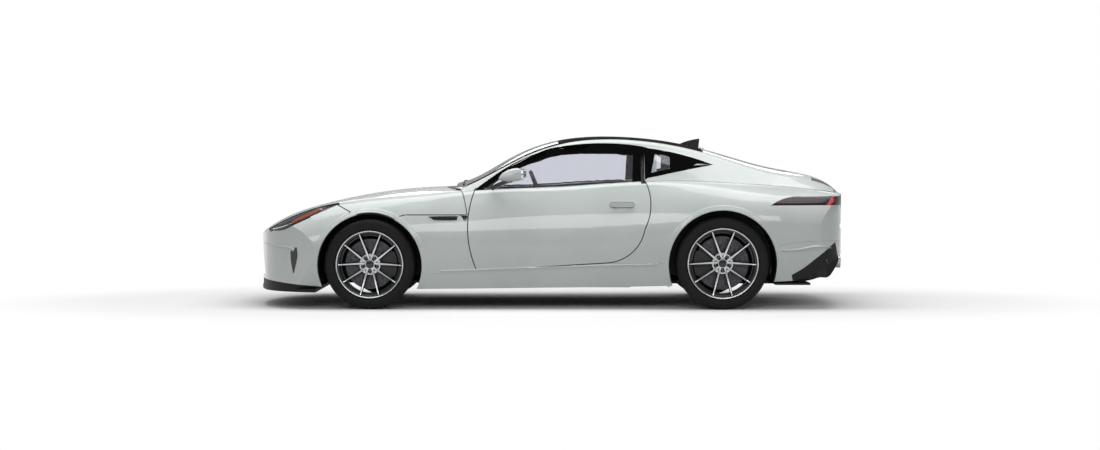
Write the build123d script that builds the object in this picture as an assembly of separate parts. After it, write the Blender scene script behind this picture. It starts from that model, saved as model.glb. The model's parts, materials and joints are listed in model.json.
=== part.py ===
"""Two-door coupe car with a front-hinged clamshell bonnet and a liftback, at full size, in millimetres.

Frame: the nose points to -X, the car's left side is -Y, +Z is up. The origin is on the ground, below the
middle of the car's length and on its centre plane.
"""

from build123d import *
from collections import namedtuple
import math
import os

os.makedirs("parts", exist_ok=True)

# ---------------------------------------------------------------- driving dimensions
LENGTH = 4480.0
NOSE_X = -LENGTH / 2
TAIL_X = LENGTH / 2
FRONT_AXLE_X = -1340.0
WHEELBASE = 2622.0
REAR_AXLE_X = FRONT_AXLE_X + WHEELBASE

SHUT_GAP = 7.0  # around doors, bonnet and tailgate
SEAT_GAP = 0.3  # between pieces that sit on each other
PILLAR_GAP = 1.2  # between the pillars and the shoulder under them
SEAM = 1.0  # between fixed panels
DOOR_THICK = 80.0
LID_THICK = 26.0
GLASS_THICK = 6.0
FRAME_THICK = 38.0  # pillars and roof rails
LEDGE_WIDE = 22.0  # the ledge that panes and roof lie on
FLANGE_Y = 640.0  # the flange under the windows ends here

Wheel = namedtuple("Wheel", "axle_x radius_tyre width_tyre radius_rim centre_y arch_radius arch_rise well_y")
FRONT_WHEEL = Wheel(FRONT_AXLE_X, 335.0, 245.0, 250.0, 788.0, 388.0, -10.0, 478.0)
REAR_WHEEL = Wheel(REAR_AXLE_X, 343.0, 275.0, 262.0, 806.0, 402.0, -8.0, 600.0)

# Cross-sections of the lower body, nose to tail. Half widths y, heights z.
Section = namedtuple("Section", "x z_floor y_floor z_wide y_wide z_shoulder y_shoulder z_centre round")
LOWER_BODY = [
    Section(-2265, 150, 830, 400, 880, 452, 820, 512, 20),
    Section(-2080, 150, 850, 420, 905, 600, 770, 655, 60),
    Section(-1800, 150, 865, 450, 918, 735, 760, 760, 75),
    Section(-1340, 150, 872, 500, 925, 820, 775, 858, 80),
    Section(-800, 152, 865, 500, 916, 866, 780, 905, 80),
    Section(-200, 158, 860, 480, 915, 900, 800, 922, 60),
    Section(400, 165, 862, 500, 922, 932, 800, 944, 60),
    Section(900, 175, 875, 570, 945, 952, 800, 964, 70),
    Section(1300, 190, 890, 620, 960, 930, 780, 975, 90),
    Section(1750, 210, 880, 620, 945, 890, 760, 950, 90),
    Section(2265, 240, 830, 600, 890, 836, 740, 864, 60),
]

# Cross-sections of the cabin and fastback, from the windscreen base to the tail.
Cabin = namedtuple("Cabin", "x z_base y_base z_edge y_edge z_centre round bulge")
CABIN = [
    Cabin(-730, 780, 815, 870, 768, 932, 10, 3),
    Cabin(-420, 780, 826, 1014, 706, 1064, 22, 8),
    Cabin(-130, 780, 828, 1160, 640, 1210, 36, 12),
    Cabin(160, 780, 826, 1246, 594, 1280, 48, 16),
    Cabin(480, 780, 822, 1268, 574, 1295, 52, 18),
    Cabin(850, 780, 806, 1236, 550, 1266, 52, 18),
    Cabin(1240, 780, 775, 1148, 518, 1184, 52, 12),
    Cabin(1730, 780, 740, 1008, 505, 1050, 40, 6),
    Cabin(2188, 770, 706, 862, 518, 893, 16, 2),
]


def arc_points(centre, radius, start, end):
    """The start, middle and end points of an arc, given in degrees."""
    turns = [math.radians(t) for t in (start, (start + end) / 2, end)]
    return [(centre[0] + radius * math.cos(t), centre[1] + radius * math.sin(t)) for t in turns]


def upright_arc(y_wide, z_wide, y_end, z_end):
    """The arc that leaves (y_wide, z_wide) upright and ends at (y_end, z_end), as three points."""
    dy, dz = y_wide - y_end, z_end - z_wide
    radius = (dy * dy + dz * dz) / (2 * dy)
    turn = math.degrees(math.atan2(dz, radius - dy))
    return arc_points((y_wide - radius, z_wide), radius, 0, turn)


def crown_arc(y_edge, z_edge, z_centre, y_stop=0.0):
    """The arc from (y_edge, z_edge) towards the top (0, z_centre), stopped at y_stop, as three points."""
    rise = z_centre - z_edge
    radius = (y_edge * y_edge + rise * rise) / (2 * rise)
    turns = [math.degrees(math.acos(y / radius)) for y in (y_edge, y_stop)]
    return arc_points((0, z_centre - radius), radius, *turns)


def closed_wire(x, *parts):
    """A closed wire in the plane at x: each part is a point, or an arc as (start, middle, end)."""
    edges, here, first = [], None, None

    def at(p):
        return Vector(x, *p)

    for part in parts:
        points = part if isinstance(part[0], (tuple, list)) else [part]
        first = first or points[0]
        if here and math.dist(here, points[0]) > 0.01:
            edges.append(Edge.make_line(at(here), at(points[0])))
        if len(points) == 3:
            edges.append(Edge.make_three_point_arc(*[at(p) for p in points]))
        here = points[-1]
    edges.append(Edge.make_line(at(here), at(first)))
    return Wire(edges)


def flipped(arc):
    """An arc run backwards."""
    return arc[::-1]


def other_side(arc):
    """An arc mirrored to the right side and run backwards."""
    return [(-y, z) for y, z in reversed(arc)]


def shoulder(s, side=0.0, top=0.0):
    """The lower body's side above its widest line, its rounded shoulder and its crown, as three arcs."""
    y_wide, y_corner = s.y_wide - side, s.y_shoulder - side
    z_corner, z_centre = s.z_shoulder - top, s.z_centre - top
    cut = 0.62 * s.round
    high = upright_arc(y_wide, s.z_wide, y_corner, z_corner)
    dy, dz = y_wide - y_corner, z_corner - s.z_wide
    radius = (dy * dy + dz * dz) / (2 * dy)
    z_start = z_corner - cut
    y_start = y_wide - radius + math.sqrt(radius * radius - (z_start - s.z_wide) ** 2)
    high = upright_arc(y_wide, s.z_wide, y_start, z_start)
    y_end = y_corner - cut
    crown = crown_arc(y_corner, z_corner, z_centre)
    rise = z_centre - z_corner
    crown_radius = (y_corner * y_corner + rise * rise) / (2 * rise)
    z_end = z_centre - crown_radius + math.sqrt(crown_radius * crown_radius - y_end * y_end)
    share = 0.41
    middle = (
        y_corner + ((y_start + y_end) / 2 - y_corner) * share,
        z_corner + ((z_start + z_end) / 2 - z_corner) * share,
    )
    turn = [(y_start, z_start), middle, (y_end, z_end)]
    return high, turn, (y_end, z_end, crown_radius, z_centre)


def crown_from(y_end, z_end, crown_radius, z_centre, y_stop):
    """The crown arc from the shoulder's end to y_stop, as three points."""
    turns = [math.degrees(math.acos(y / crown_radius)) for y in (y_end, y_stop)]
    return arc_points((0, z_centre - crown_radius), crown_radius, *turns)


def whole_wire(s):
    """A full cross-section of the lower body."""
    low = upright_arc(s.y_wide, s.z_wide, s.y_floor, s.z_floor)
    high, turn, crown = shoulder(s)
    half = crown_from(*crown, 0.0)
    top_arc = [half[0], half[2], (-half[0][0], half[0][1])]
    return closed_wire(
        s.x, flipped(low), high, turn, top_arc, other_side(turn), other_side(high), other_side(flipped(low))
    )


def other_side_run(part):
    """The same points on the left, in the same order."""
    return [(-y, z) for y, z in part]


def wall_wire(s):
    """The left wall of the lower body with its sill, side, shoulder and a flange under the cabin."""
    low = upright_arc(s.y_wide, s.z_wide, s.y_floor, s.z_floor)
    high, turn, crown = shoulder(s)
    flange = crown_from(*crown, FLANGE_Y)
    inner_low = upright_arc(s.y_wide - DOOR_THICK, s.z_wide, s.y_floor - DOOR_THICK, s.z_floor)
    inner_high = upright_arc(
        s.y_wide - DOOR_THICK, s.z_wide, s.y_shoulder - DOOR_THICK, s.z_shoulder - LID_THICK - 20
    )
    under = (FLANGE_Y, flange[2][1] - LID_THICK)
    parts = (flipped(low), high, turn, flange, [under], flipped(inner_high), inner_low)
    return closed_wire(s.x, *[other_side_run(p) for p in parts])


def lid_wire(s):
    """The clamshell's cross-section: a sheet over the shoulders and down to the widest line."""
    high, turn, crown = shoulder(s)
    half = crown_from(*crown, 0.0)
    top_arc = [half[0], half[2], (-half[0][0], half[0][1])]
    in_high, in_turn, in_crown = shoulder(s, LID_THICK, LID_THICK)
    in_half = crown_from(*in_crown, 0.0)
    in_top = [in_half[0], in_half[2], (-in_half[0][0], in_half[0][1])]
    inner = [other_side(part) for part in (in_high, in_turn)]
    return closed_wire(
        s.x,
        high,
        turn,
        top_arc,
        other_side(turn),
        other_side(high),
        flipped(inner[0]),
        flipped(inner[1]),
        flipped(in_top),
        flipped(in_turn),
        flipped(in_high),
    )


def cabin_arcs(c, inset=0.0):
    """The cabin's side, its rounded edge and half its roof, as three arcs on the left taken as +y."""
    lean_y, lean_z = c.y_base - c.y_edge, c.z_edge - c.z_base
    lean = math.hypot(lean_y, lean_z)
    out = (lean_z / lean, lean_y / lean)
    rise = c.z_centre - c.z_edge
    y_edge, z_edge, z_centre = c.y_edge, c.z_edge, c.z_centre
    roof_radius = (y_edge * y_edge + rise * rise) / (2 * rise)
    cut = 0.8 * c.round
    y_end = y_edge - cut
    z_end = z_centre - roof_radius + math.sqrt(roof_radius * roof_radius - y_end * y_end)
    y_start, z_start = y_edge + lean_y / lean * cut, z_edge - lean_z / lean * cut
    share = 0.45
    y_middle = y_edge + ((y_start + y_end) / 2 - y_edge) * share
    middle = (y_middle, z_edge + ((z_start + z_end) / 2 - z_edge) * share)

    def moved(p, weight=1.0):
        return p[0] - out[0] * inset * weight, p[1] - out[1] * inset * weight

    side_middle = ((c.y_base + y_start) / 2 + out[0] * c.bulge, (c.z_base + z_start) / 2 + out[1] * c.bulge)
    side = [moved((c.y_base, c.z_base)), moved(side_middle), moved((y_start, z_start))]
    turn = [side[2], (middle[0] - 0.6 * inset, middle[1] - 0.8 * inset), (y_end, z_end - inset)]
    turns = [math.degrees(math.acos(y / roof_radius)) for y in (y_end, 0.0)]
    roof = arc_points((0, z_centre - roof_radius - inset), roof_radius, *turns)
    return side, turn, roof


def left_of(parts):
    """Section parts turned over to the car's left side."""
    return [[(-y, z) for y, z in part] for part in parts]


def pane_wire(c, high=0.0, low=GLASS_THICK):
    """The cabin's left side between two depths below its surface."""
    return closed_wire(c.x, *left_of([cabin_arcs(c, high)[0], flipped(cabin_arcs(c, low)[0])]))


def frame_wire(c):
    """The cabin's left frame: side and rounded edge, with a ledge along its inner edge."""
    side, turn = cabin_arcs(c)[:2]
    y_end, z_end = turn[2]
    z_ledge = z_end - GLASS_THICK - SEAT_GAP
    inner = [
        [(y_end, z_ledge)],
        [(y_end - LEDGE_WIDE, z_ledge)],
        [(y_end - LEDGE_WIDE, z_end - FRAME_THICK)],
        [(c.y_base - FRAME_THICK, c.z_base)],
    ]
    return closed_wire(c.x, *left_of([side, turn, *inner]))


def top_wire(c, margin, high=0.0, low=GLASS_THICK):
    """The cabin's top between two depths, ending margin short of the frame's edge."""
    half, low_half = [roof_arc(c, margin, depth) for depth in (high, low)]
    top_arc = [half[0], half[2], (-half[0][0], half[0][1])]
    low_arc = [low_half[0], low_half[2], (-low_half[0][0], low_half[0][1])]
    return closed_wire(c.x, top_arc, flipped(low_arc))


def roof_arc(c, margin, depth):
    """Half of the cabin's top, depth below its surface, as three points."""
    rise = c.z_centre - c.z_edge
    radius = (c.y_edge * c.y_edge + rise * rise) / (2 * rise)
    y_stop = c.y_edge - 0.8 * c.round - margin
    turns = [math.degrees(math.acos(y / radius)) for y in (y_stop, 0.0)]
    return arc_points((0, c.z_centre - radius - depth), radius, *turns)


def outline(start, *steps):
    """A closed face from straight steps, given as points, and arcs, given as (middle, end)."""
    edges, here = [], start
    for step in steps:
        if isinstance(step[0], tuple):
            edges.append(ThreePointArc(here, *step))
            here = step[1]
        else:
            edges.append(Line(here, step))
            here = step
    if here != start:
        edges.append(Line(here, start))
    return make_face(edges)


def across(face, y_low, y_high):
    """The side-view face, drawn in x and z, carried across the car from y_low to y_high."""
    plane = Plane(origin=(0, y_high, 0), x_dir=(1, 0, 0), z_dir=(0, -1, 0))
    return extrude(plane * face, y_high - y_low, dir=(0, -1, 0))


def upright(face, z_low, z_high):
    """The plan-view face, drawn in x and y, raised from z_low to z_high."""
    return extrude(Plane.XY.offset(z_low) * face, z_high - z_low, dir=(0, 0, 1))


def grown(face, gap):
    """A face with its outline moved out by gap."""
    return offset(face, gap, kind=Kind.ARC)


def block(x, y, z):
    """A box given as three (low, high) pairs."""
    return Pos((x[0] + x[1]) / 2, (y[0] + y[1]) / 2, (z[0] + z[1]) / 2) * Box(
        x[1] - x[0], y[1] - y[0], z[1] - z[0]
    )


def rod(radius, y_low, y_high, x, z):
    """A round bar along Y."""
    return Pos(x, (y_low + y_high) / 2, z) * Rot(90, 0, 0) * Cylinder(radius, y_high - y_low)


def post(radius, z_low, z_high, x, y):
    """A round bar along Z."""
    return Pos(x, y, (z_low + z_high) / 2) * Cylinder(radius, z_high - z_low)


def bar(radius, start, end):
    """A round bar between two points."""
    line = Vector(end) - Vector(start)
    plane = Plane(origin=start, z_dir=line)
    return extrude(plane * Circle(radius), line.length)


def mirrored(shape):
    """The same shape on the right side."""
    return mirror(shape, about=Plane.XZ)


def common(first, second):
    """What two shapes share."""
    for a, b in ((first, second), (second, first)):
        got = a & b
        if got and sum(s.volume for s in got.solids()) > 0:
            return got
    return first - (first - second)


def solids_of(shape):
    """A compound of a shape's solids alone, without specks."""
    return Compound([s for s in shape.solids() if s.volume > 2000])


# ---------------------------------------------------------------- where the fittings sit
BONNET_HINGE_Y = 70.0
POST_Y = 765.0  # the door posts' outer faces
POST_TOP = 730.0
HANDLE = (535.0, 902.0, 777.0)
DOOR_POCKET = [
    (-890, 280),
    (-903, 380),
    (-905, 490),
    (-896, 600),
    (-871, 700),
    (-828, 800),
    (-792, 850),
    (-600, 850),
    (-600, 280),
]
TAILGATE_AXIS = (1168.5, 1204.0)  # x and z
TAILGATE_HINGE_Y = 120.0
TUNNEL_Z = 330.0
FIREWALL_X = -701.0  # its rear face
DASH_Y = 625.0
PIPE_R = 34.0
PIPE_Y = 320.0
PIPE_Z = 330.0

NODES = {}


def keep(name, shape):
    """Stores a finished piece under its node name."""
    NODES[name] = solids_of(shape)


# ---------------------------------------------------------------- outlines, left side view (x, z)
WIDE = 1200.0
HIGH = 1400.0
BONNET_LIP_Z = 575.0

SILHOUETTE = outline(
    (-2255, 800),
    (-2255, 505),
    (-2234, 444),
    (-2220, 353),
    (-2198, 269),
    (-2196, 100),
    (1890, 100),
    (1913, 216),
    (2262, 462),
    (2262, 523),
    (2208, 570),
    (2168, 617),
    (2188, 648),
    (2193, 847),
    (2200, HIGH),
    (-2255, HIGH),
)
DOOR = outline(
    (-556, 893),
    ((80, 930), (703, 962)),
    ((745, 800), (700, 600)),
    ((572, 400), (416, 350)),
    (-542, 293),
    ((-606, 670), (-556, 893)),
)
DOOR_WINDOW = outline(
    (-536, 860),
    (700, 860),
    (704, 1206),
    ((480, 1229), (204, 1222)),
    ((-60, 1168), (-420, 984)),
)
QUARTER_WINDOW = outline((712, 970), (722, 1203), ((1010, 1148), (1236, 1074)), ((980, 1026), (712, 970)))
QUARTER_OPENING = outline((800, 1008), (806, 1165), ((960, 1138), (1080, 1098)), (1060, 1066))
BONNET = outline(
    (-2300, BONNET_LIP_Z),
    (-2100, BONNET_LIP_Z + 3),
    ((-1850, 702), (-1600, 786)),
    (-1432, 700),
    (-1432, 500),
    (-1165, 500),
    (-1165, 664),
    ((-1110, 698), (-1040, 706)),
    (-611, 706),
    ((-600, 800), (-562, 893)),
    (-500, HIGH),
    (-2300, HIGH),
)
HEADLAMP = outline(
    (-2110, 588),
    ((-1860, 708), (-1584, 780)),
    ((-1750, 700), (-1930, 616)),
    ((-2010, 585), (-2110, 588)),
)
FENDER = outline((-1200, 240), (-1200, 701), (-600, 701), (-546, 280), (-900, 262))
SILL = outline(
    (-1200, 100),
    (-1200, 262),
    (-900, 262),
    (-546, 284),
    ((-60, 316), (416, 344)),
    (1200, 344),
    (1200, 100),
)
BUMPER_FRONT = outline((-2300, 222), (-1600, 160), (-1600, 1000), (-2300, 1000))
BUMPER_REAR = outline(
    (1500, 100),
    (1500, 440),
    (1721, 483),
    ((1900, 505), (2100, 508)),
    (2400, 512),
    (2400, 100),
)
TAIL_LAMP = outline((1640, 774), ((1740, 822), (1880, 836)), (2300, 842), (2300, 776))
DIFFUSER = outline((1720, 214), (1916, 219), (2200, 419), (2193, 436), (1912, 235), (1720, 230))
FIN = outline((1023, 1150), (1023, 1241), ((1090, 1264), (1172, 1279)), (1158, 1150))

# ---------------------------------------------------------------- outlines, plan view (x, y)
COWL_EDGE = ThreePointArc((-560, -1000), (-806, 0), (-560, 1000))
BONNET_PLAN = make_face(
    [
        COWL_EDGE,
        Line((-560, 1000), (-2400, 1000)),
        Line((-2400, 1000), (-2400, -1000)),
        Line((-2400, -1000), (-560, -1000)),
    ]
)
PLAN = outline(
    (-2150, -560),
    ((NOSE_X, 0), (-2150, 560)),
    ((-1995, 790), (-1650, 935)),
    (-1400, 1000),
    (1500, 1000),
    (1850, 952),
    ((2100, 850), (2195, 640)),
    ((TAIL_X, 0), (2195, -640)),
    ((2100, -850), (1850, -952)),
    (1500, -1000),
    (-1400, -1000),
    (-1650, -935),
    ((-1995, -790), (-2150, -560)),
)
CORE = outline(
    (-2080, -520),
    ((-2165, 0), (-2080, 520)),
    ((-1930, 725), (-1700, 840)),
    (1800, 865),
    ((2020, 785), (2105, 600)),
    ((2150, 0), (2105, -600)),
    ((2020, -785), (1800, -865)),
    (-1700, -840),
    ((-1930, -725), (-2080, -520)),
)


# ---------------------------------------------------------------- body envelope
WALL_END_X = 1880.0
TAILGATE_X = 1162.0
TAILGATE_LOW_Z = 640.0
FRONT_PANEL_X = -1700.0
FRONT_PANEL_END_X = -1440.0
TAIL_FRONT_X = 1990.0
FLOOR_Z = 175.0
FLOOR_THICK = 15.0
FLOOR_TOP = FLOOR_Z + FLOOR_THICK
BONNET_AXIS = (-2186.0, 562.0)
DOOR_HINGE = (-495.0, 892.0)
DOOR_HINGE_HEIGHTS = (400.0, 550.0)
DOOR_PIN_R = 5.0
DOOR_EYE_R = 8.0
DOOR_LUG_R = 5.6
TAILGATE_HALF = CABIN[-1].y_edge - 0.8 * CABIN[-1].round
MOUTH = [(-330, 505), (330, 505), (505, 262), (470, 236), (-470, 236), (-505, 262)]
BACKLIGHT = make_face(Polyline((1235, -425), (1860, -400), (1860, 400), (1235, 425), close=True))
BACKLIGHT_OPENING = make_face(Polyline((1260, -400), (1835, -376), (1835, 376), (1260, 400), close=True))


def lofted(wires):
    """A solid through a row of closed wires."""
    return Solid.make_loft(list(wires))


def side_tool(face, gap=0.0, y_high=-420.0):
    """The left side's tool for a side-view face."""
    return across(grown(face, gap) if gap else face, -WIDE, y_high)


def both_tools(face, gap=0.0, y_high=-420.0):
    """The same tool for both sides, as a list."""
    tool = side_tool(face, gap, y_high)
    return [tool, mirrored(tool)]


def mouth_space(gap):
    """The grille mouth, drawn in y and z, narrowed by gap and carried back from the nose."""
    face = make_face(Polyline(*MOUTH, close=True))
    face = offset(face, -gap, kind=Kind.ARC) if gap else face
    plane = Plane(origin=(-2300, 0, 0), x_dir=(0, 1, 0), z_dir=(1, 0, 0))
    return extrude(plane * face, 400, dir=(1, 0, 0))


def well(wheel, gap=0.0):
    """The round space around a wheel on the left side."""
    centre_z = wheel.radius_tyre + wheel.arch_rise
    return rod(wheel.arch_radius + gap, -WIDE, -wheel.well_y, wheel.axle_x, centre_z)


limits = common(across(SILHOUETTE, -WIDE, WIDE), upright(PLAN, 0, HIGH))
core = upright(CORE, 0, HIGH)
lamp_core = upright(offset(CORE, -90), 0, HIGH)
ring = common(lofted(whole_wire(s) for s in LOWER_BODY), limits - core)
wall = lofted(wall_wire(s) for s in LOWER_BODY)
left_wells = [well(FRONT_WHEEL), well(REAR_WHEEL)]
wells = left_wells + [mirrored(w) for w in left_wells]
bonnet_space = common(
    across(grown(BONNET, SHUT_GAP), -WIDE, WIDE), upright(grown(BONNET_PLAN, SHUT_GAP), 0, HIGH)
)
door_space = side_tool(DOOR, SHUT_GAP)
tailgate_space = block((TAILGATE_X, 2400), (-TAILGATE_HALF, TAILGATE_HALF), (TAILGATE_LOW_Z, HIGH))
bumper_space = across(grown(BUMPER_REAR, SEAM), -WIDE, WIDE)


# ---------------------------------------------------------------- nose
def front_bumper():
    """The nose below the bonnet, around the grille mouth, back to the front wheels."""
    tool = common(across(BUMPER_FRONT, -WIDE, WIDE), block((-2400, FRONT_PANEL_X), (-WIDE, WIDE), (0, HIGH)))
    pockets = [
        block((BONNET_AXIS[0] - 9, -2060), (y - 32, y + 32), (BONNET_AXIS[1] - 12, BONNET_LIP_Z + 40))
        for y in (-BONNET_HINGE_Y, BONNET_HINGE_Y)
    ]
    tool = tool - [bonnet_space, mouth_space(0), *both_tools(HEADLAMP, SEAM), *wells, *pockets]
    pins = [rod(3.5, y - 34, y + 34, *BONNET_AXIS) for y in (-BONNET_HINGE_Y, BONNET_HINGE_Y)]
    nose = common(ring, tool) + pins
    corner = block((FRONT_PANEL_X + SEAT_GAP, FRONT_PANEL_END_X), (-WIDE, 0), (400, HIGH))
    corner = common(wall, corner - [bonnet_space, side_tool(HEADLAMP, SEAM), left_wells[0]])
    return Compound([s for shape in (nose, corner, mirrored(corner)) for s in solids_of(shape).solids()])


def grille():
    """Level vanes across the mouth, tied by upright bars."""
    plug = common(ring, mouth_space(SEAT_GAP))
    vanes = [block((-2300, -2000), (-600, 600), (z, z + 7)) for z in range(250, 500, 30)]
    ties = [block((-2190, -2150), (y - 4, y + 4), (200, 520)) for y in (-300, -150, 0, 150, 300)]
    return common(plug, vanes[0].fuse(*vanes[1:], *ties))


def splitter():
    """The blade below the nose, with the lip above it."""
    low = outline((-2300, 100), (-1740, 100), (-1740, 173 - SEAM), (-2300, 222 - SEAM))
    plate = common(upright(PLAN, 128, 152), block((-2400, -1740), (-WIDE, WIDE), (0, HIGH)))
    return common(ring, across(low, -WIDE, WIDE)) + plate


def bonnet():
    """The clamshell: bonnet and tops of the front wings in one piece, with its hinge eyes."""
    tool = common(across(BONNET, -WIDE, WIDE), upright(BONNET_PLAN, 0, HIGH))
    tool = common(tool, limits) - [*both_tools(HEADLAMP, SHUT_GAP + 3)]
    arches = [well(FRONT_WHEEL, SHUT_GAP), mirrored(well(FRONT_WHEEL, SHUT_GAP))]
    lid = common(lofted(lid_wire(s) for s in LOWER_BODY[:7]), tool - arches)
    x, z = BONNET_AXIS
    eyes = []
    for y in (-BONNET_HINGE_Y, BONNET_HINGE_Y):
        arm = outline((x - 3, z), (x + 5, z - 4), (x + 95, z + 35), (x + 95, z + 60), (x + 22, z + 24))
        eye = across(arm, y - 20, y + 20) + rod(6, y - 20, y + 20, x, z)
        eyes.append(eye - rod(3.8, y - 30, y + 30, x, z))
    return lid.fuse(*eyes)


def fender():
    """The panel between the front wheel and the door, below the clamshell."""
    return common(wall, side_tool(FENDER) - [bonnet_space, *left_wells, door_space, side_tool(SILL, SEAM)])


def headlamp():
    """The lamp unit at the corner of the nose."""
    lamp = common(side_tool(HEADLAMP), limits) - lamp_core
    return common(lofted(whole_wire(s) for s in LOWER_BODY[:5]), lamp)


# ---------------------------------------------------------------- sides
def sill():
    """The sill under the door, with the flange that the floor lies on."""
    side = common(wall, side_tool(SILL) - [*left_wells, door_space])
    return side + block((-850, 600), (-812, -745), (FLOOR_Z - 15, FLOOR_Z - SEAT_GAP))


def hinge_lugs(z):
    """One hinge's fixed half: two lugs reaching out from the door post, and their pin."""
    x, y = DOOR_HINGE
    lugs = []
    for low, high in ((z - 22, z - 14), (z + 14, z + 22)):
        arm = block((x - DOOR_LUG_R, x + DOOR_LUG_R), (-y, -POST_Y + 5), (low, high))
        lugs.append(arm + post(DOOR_LUG_R, low, high, x, -y))
    return lugs[0].fuse(lugs[1], post(DOOR_PIN_R, z - 22, z + 22, x, -y))


def door():
    """The door below its window: thin ahead of its hinges, stepped at its rear edge, with its handle."""
    x, y = DOOR_HINGE
    plane = Plane(origin=(-700, 0, 0), x_dir=(0, 1, 0), z_dir=(1, 0, 0))
    pocket = extrude(plane * make_face(Polyline(*DOOR_POCKET, close=True)), 300, dir=(1, 0, 0))
    step = block((680, 800), (-810, -600), (250, 1000))
    panel = common(wall, side_tool(DOOR, 0, -735.0) - [pocket, step])
    eyes = []
    for z in DOOR_HINGE_HEIGHTS:
        low, high = z - 14 + SEAT_GAP, z + 14 - SEAT_GAP
        web = block((x - DOOR_EYE_R, x + DOOR_EYE_R), (-y - 15, -y), (low, high))
        eye = web + post(DOOR_EYE_R, low, high, x, -y)
        eyes.append(eye - post(DOOR_PIN_R + SEAT_GAP, low - 5, high + 5, x, -y))
    return panel.fuse(*eyes, door_handle())


def door_handle():
    """The handle on the door's outside: a rounded bar on two feet."""
    x, y, z = HANDLE
    plane = Plane(origin=(x, -y, z), x_dir=(1, 0, 0), z_dir=(0, -1, 0))
    grip = extrude(plane * SlotOverall(171, 34), 12, dir=(0, -1, 0))
    feet = [rod(11, -y - 4, -y + 34, x + dx, z) for dx in (-55, 55)]
    return grip.fuse(*feet)


def mirror_unit():
    """The door mirror: a rounded housing on an arm that stands on the door."""
    face = outline(
        (-372, 985), ((-345, 1036), (-225, 1044)), ((-200, 1015), (-205, 965)), ((-215, 952), (-240, 950)),
        ((-345, 952), (-372, 985)),
    )
    housing = across(face, -1040, -880)
    arm = common(bar(13, (-345, -806, 840), (-300, -920, 985)), above_shoulder())
    return housing + arm


def door_glass():
    """The door's window pane, standing on the door's top."""
    pane = common(lofted(pane_wire(c) for c in CABIN), side_tool(DOOR_WINDOW))
    return common(pane, above_shoulder())


def quarter_glass():
    """The fixed side window behind the door."""
    return common(lofted(pane_wire(c) for c in CABIN), side_tool(QUARTER_WINDOW))


# ---------------------------------------------------------------- top
def band(x_low, x_high):
    """All that lies between two cross planes."""
    return block((x_low, x_high), (-WIDE, WIDE), (0, HIGH))


def top_strip(x_low, x_high, margin, high=0.0, low=GLASS_THICK):
    """The cabin's top between two depths and two cross planes."""
    return common(lofted(top_wire(c, margin, high, low) for c in CABIN), band(x_low, x_high))


def roof_panel():
    """The roof between its rails."""
    return top_strip(63, TAILGATE_X - SEAM, SEAM)


def windscreen():
    """The windscreen, from the cowl to the roof."""
    return common(
        lofted(top_wire(c, SEAM) for c in CABIN),
        band(-711, 63 - SEAM) - upright(grown(BONNET_PLAN, SHUT_GAP), 0, HIGH),
    )


def cowl():
    """The panel between the bonnet and the windscreen, with the ledge that carries the windscreen."""
    behind = block((-900, -640), (-FLANGE_Y + 2, FLANGE_Y - 2), (850, HIGH))
    behind = behind - upright(grown(BONNET_PLAN, SHUT_GAP), 0, HIGH)
    base = common(lofted(whole_wire(s) for s in LOWER_BODY[3:7]), behind)
    ledge = top_strip(-711, -680, 140, GLASS_THICK + SEAT_GAP, 50)
    return base + (ledge - upright(grown(BONNET_PLAN, SHUT_GAP), 0, HIGH))


def tailgate():
    """The liftback: outer skin with its hinge eyes, inner frame, and the upright tail below."""
    front, back = TAILGATE_X + SHUT_GAP, 2400
    glass = upright(grown(BACKLIGHT, SEAM), 900, HIGH)
    opening = upright(BACKLIGHT_OPENING, 900, HIGH)
    skin = common(lofted(top_wire(c, SHUT_GAP) for c in CABIN), band(front, back) - glass)
    depths = (LEDGE_WIDE + SHUT_GAP, GLASS_THICK + 2 * SEAT_GAP, LID_THICK)
    inner = common(lofted(top_wire(c, *depths) for c in CABIN), band(front, back) - opening)
    half = TAILGATE_HALF - SHUT_GAP
    tail = common(ring, block((2000, 2300), (-half, half), (TAILGATE_LOW_Z + SHUT_GAP, 900)))
    tail = tail - lofted(top_wire(c, -20, -60, LID_THICK + SEAT_GAP) for c in CABIN)
    x, z = TAILGATE_AXIS
    for y in (-TAILGATE_HINGE_Y, TAILGATE_HINGE_Y):
        pocket = block((x - 10, x + 14), (y - 26, y + 26), (z - 60, z + 30))
        eye = rod(6, y - 14.7, y + 14.7, x, z) + block((x, x + 30), (y - 14.7, y + 14.7), (z - 11, z + 1))
        skin = (skin - pocket) + (eye - rod(3.8, y - 30, y + 30, x, z))
        inner = inner - pocket
    return Compound([*solids_of(skin).solids(), *inner.solids(), *tail.solids()])


def backlight():
    """The tailgate's window."""
    return common(lofted(top_wire(c, 0) for c in CABIN), upright(BACKLIGHT, 900, HIGH))


def antenna_fin():
    """The fin on the roof's rear end."""
    above = lofted(top_wire(c, 0, -90, -SEAT_GAP) for c in CABIN)
    return common(across(FIN, -16, 16), above)


# ---------------------------------------------------------------- tail
def rear_bumper():
    """The tail below the lamps, from one rear wheel to the other."""
    tool = common(across(BUMPER_REAR, -WIDE, WIDE), band(1600, 2400))
    return common(ring, tool - [*wells, across(grown(DIFFUSER, SEAM), -601, 601)])


def tail_lamp():
    """The lamp around the tail's corner."""
    lamp = common(side_tool(TAIL_LAMP, 0, -TAILGATE_HALF - SEAM), limits) - lamp_core
    return common(lofted(whole_wire(s) for s in LOWER_BODY), lamp)


def diffuser():
    """The upswept panel under the tail, with fins."""
    fin = outline((1960, 252), (2190, 418), (2150, 330), (2040, 238))
    fins = [across(fin, y - 4, y + 4) for y in (-360, -180, 0, 180, 360)]
    panel = across(DIFFUSER, -600, 600).fuse(*fins)
    return panel - [bar(PIPE_R + SEAM, (1500, y, PIPE_Z), (2300, y, PIPE_Z)) for y in (-PIPE_Y, PIPE_Y)]


# ---------------------------------------------------------------- body shell
BUMPER_LINE_Z = 500.0


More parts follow.
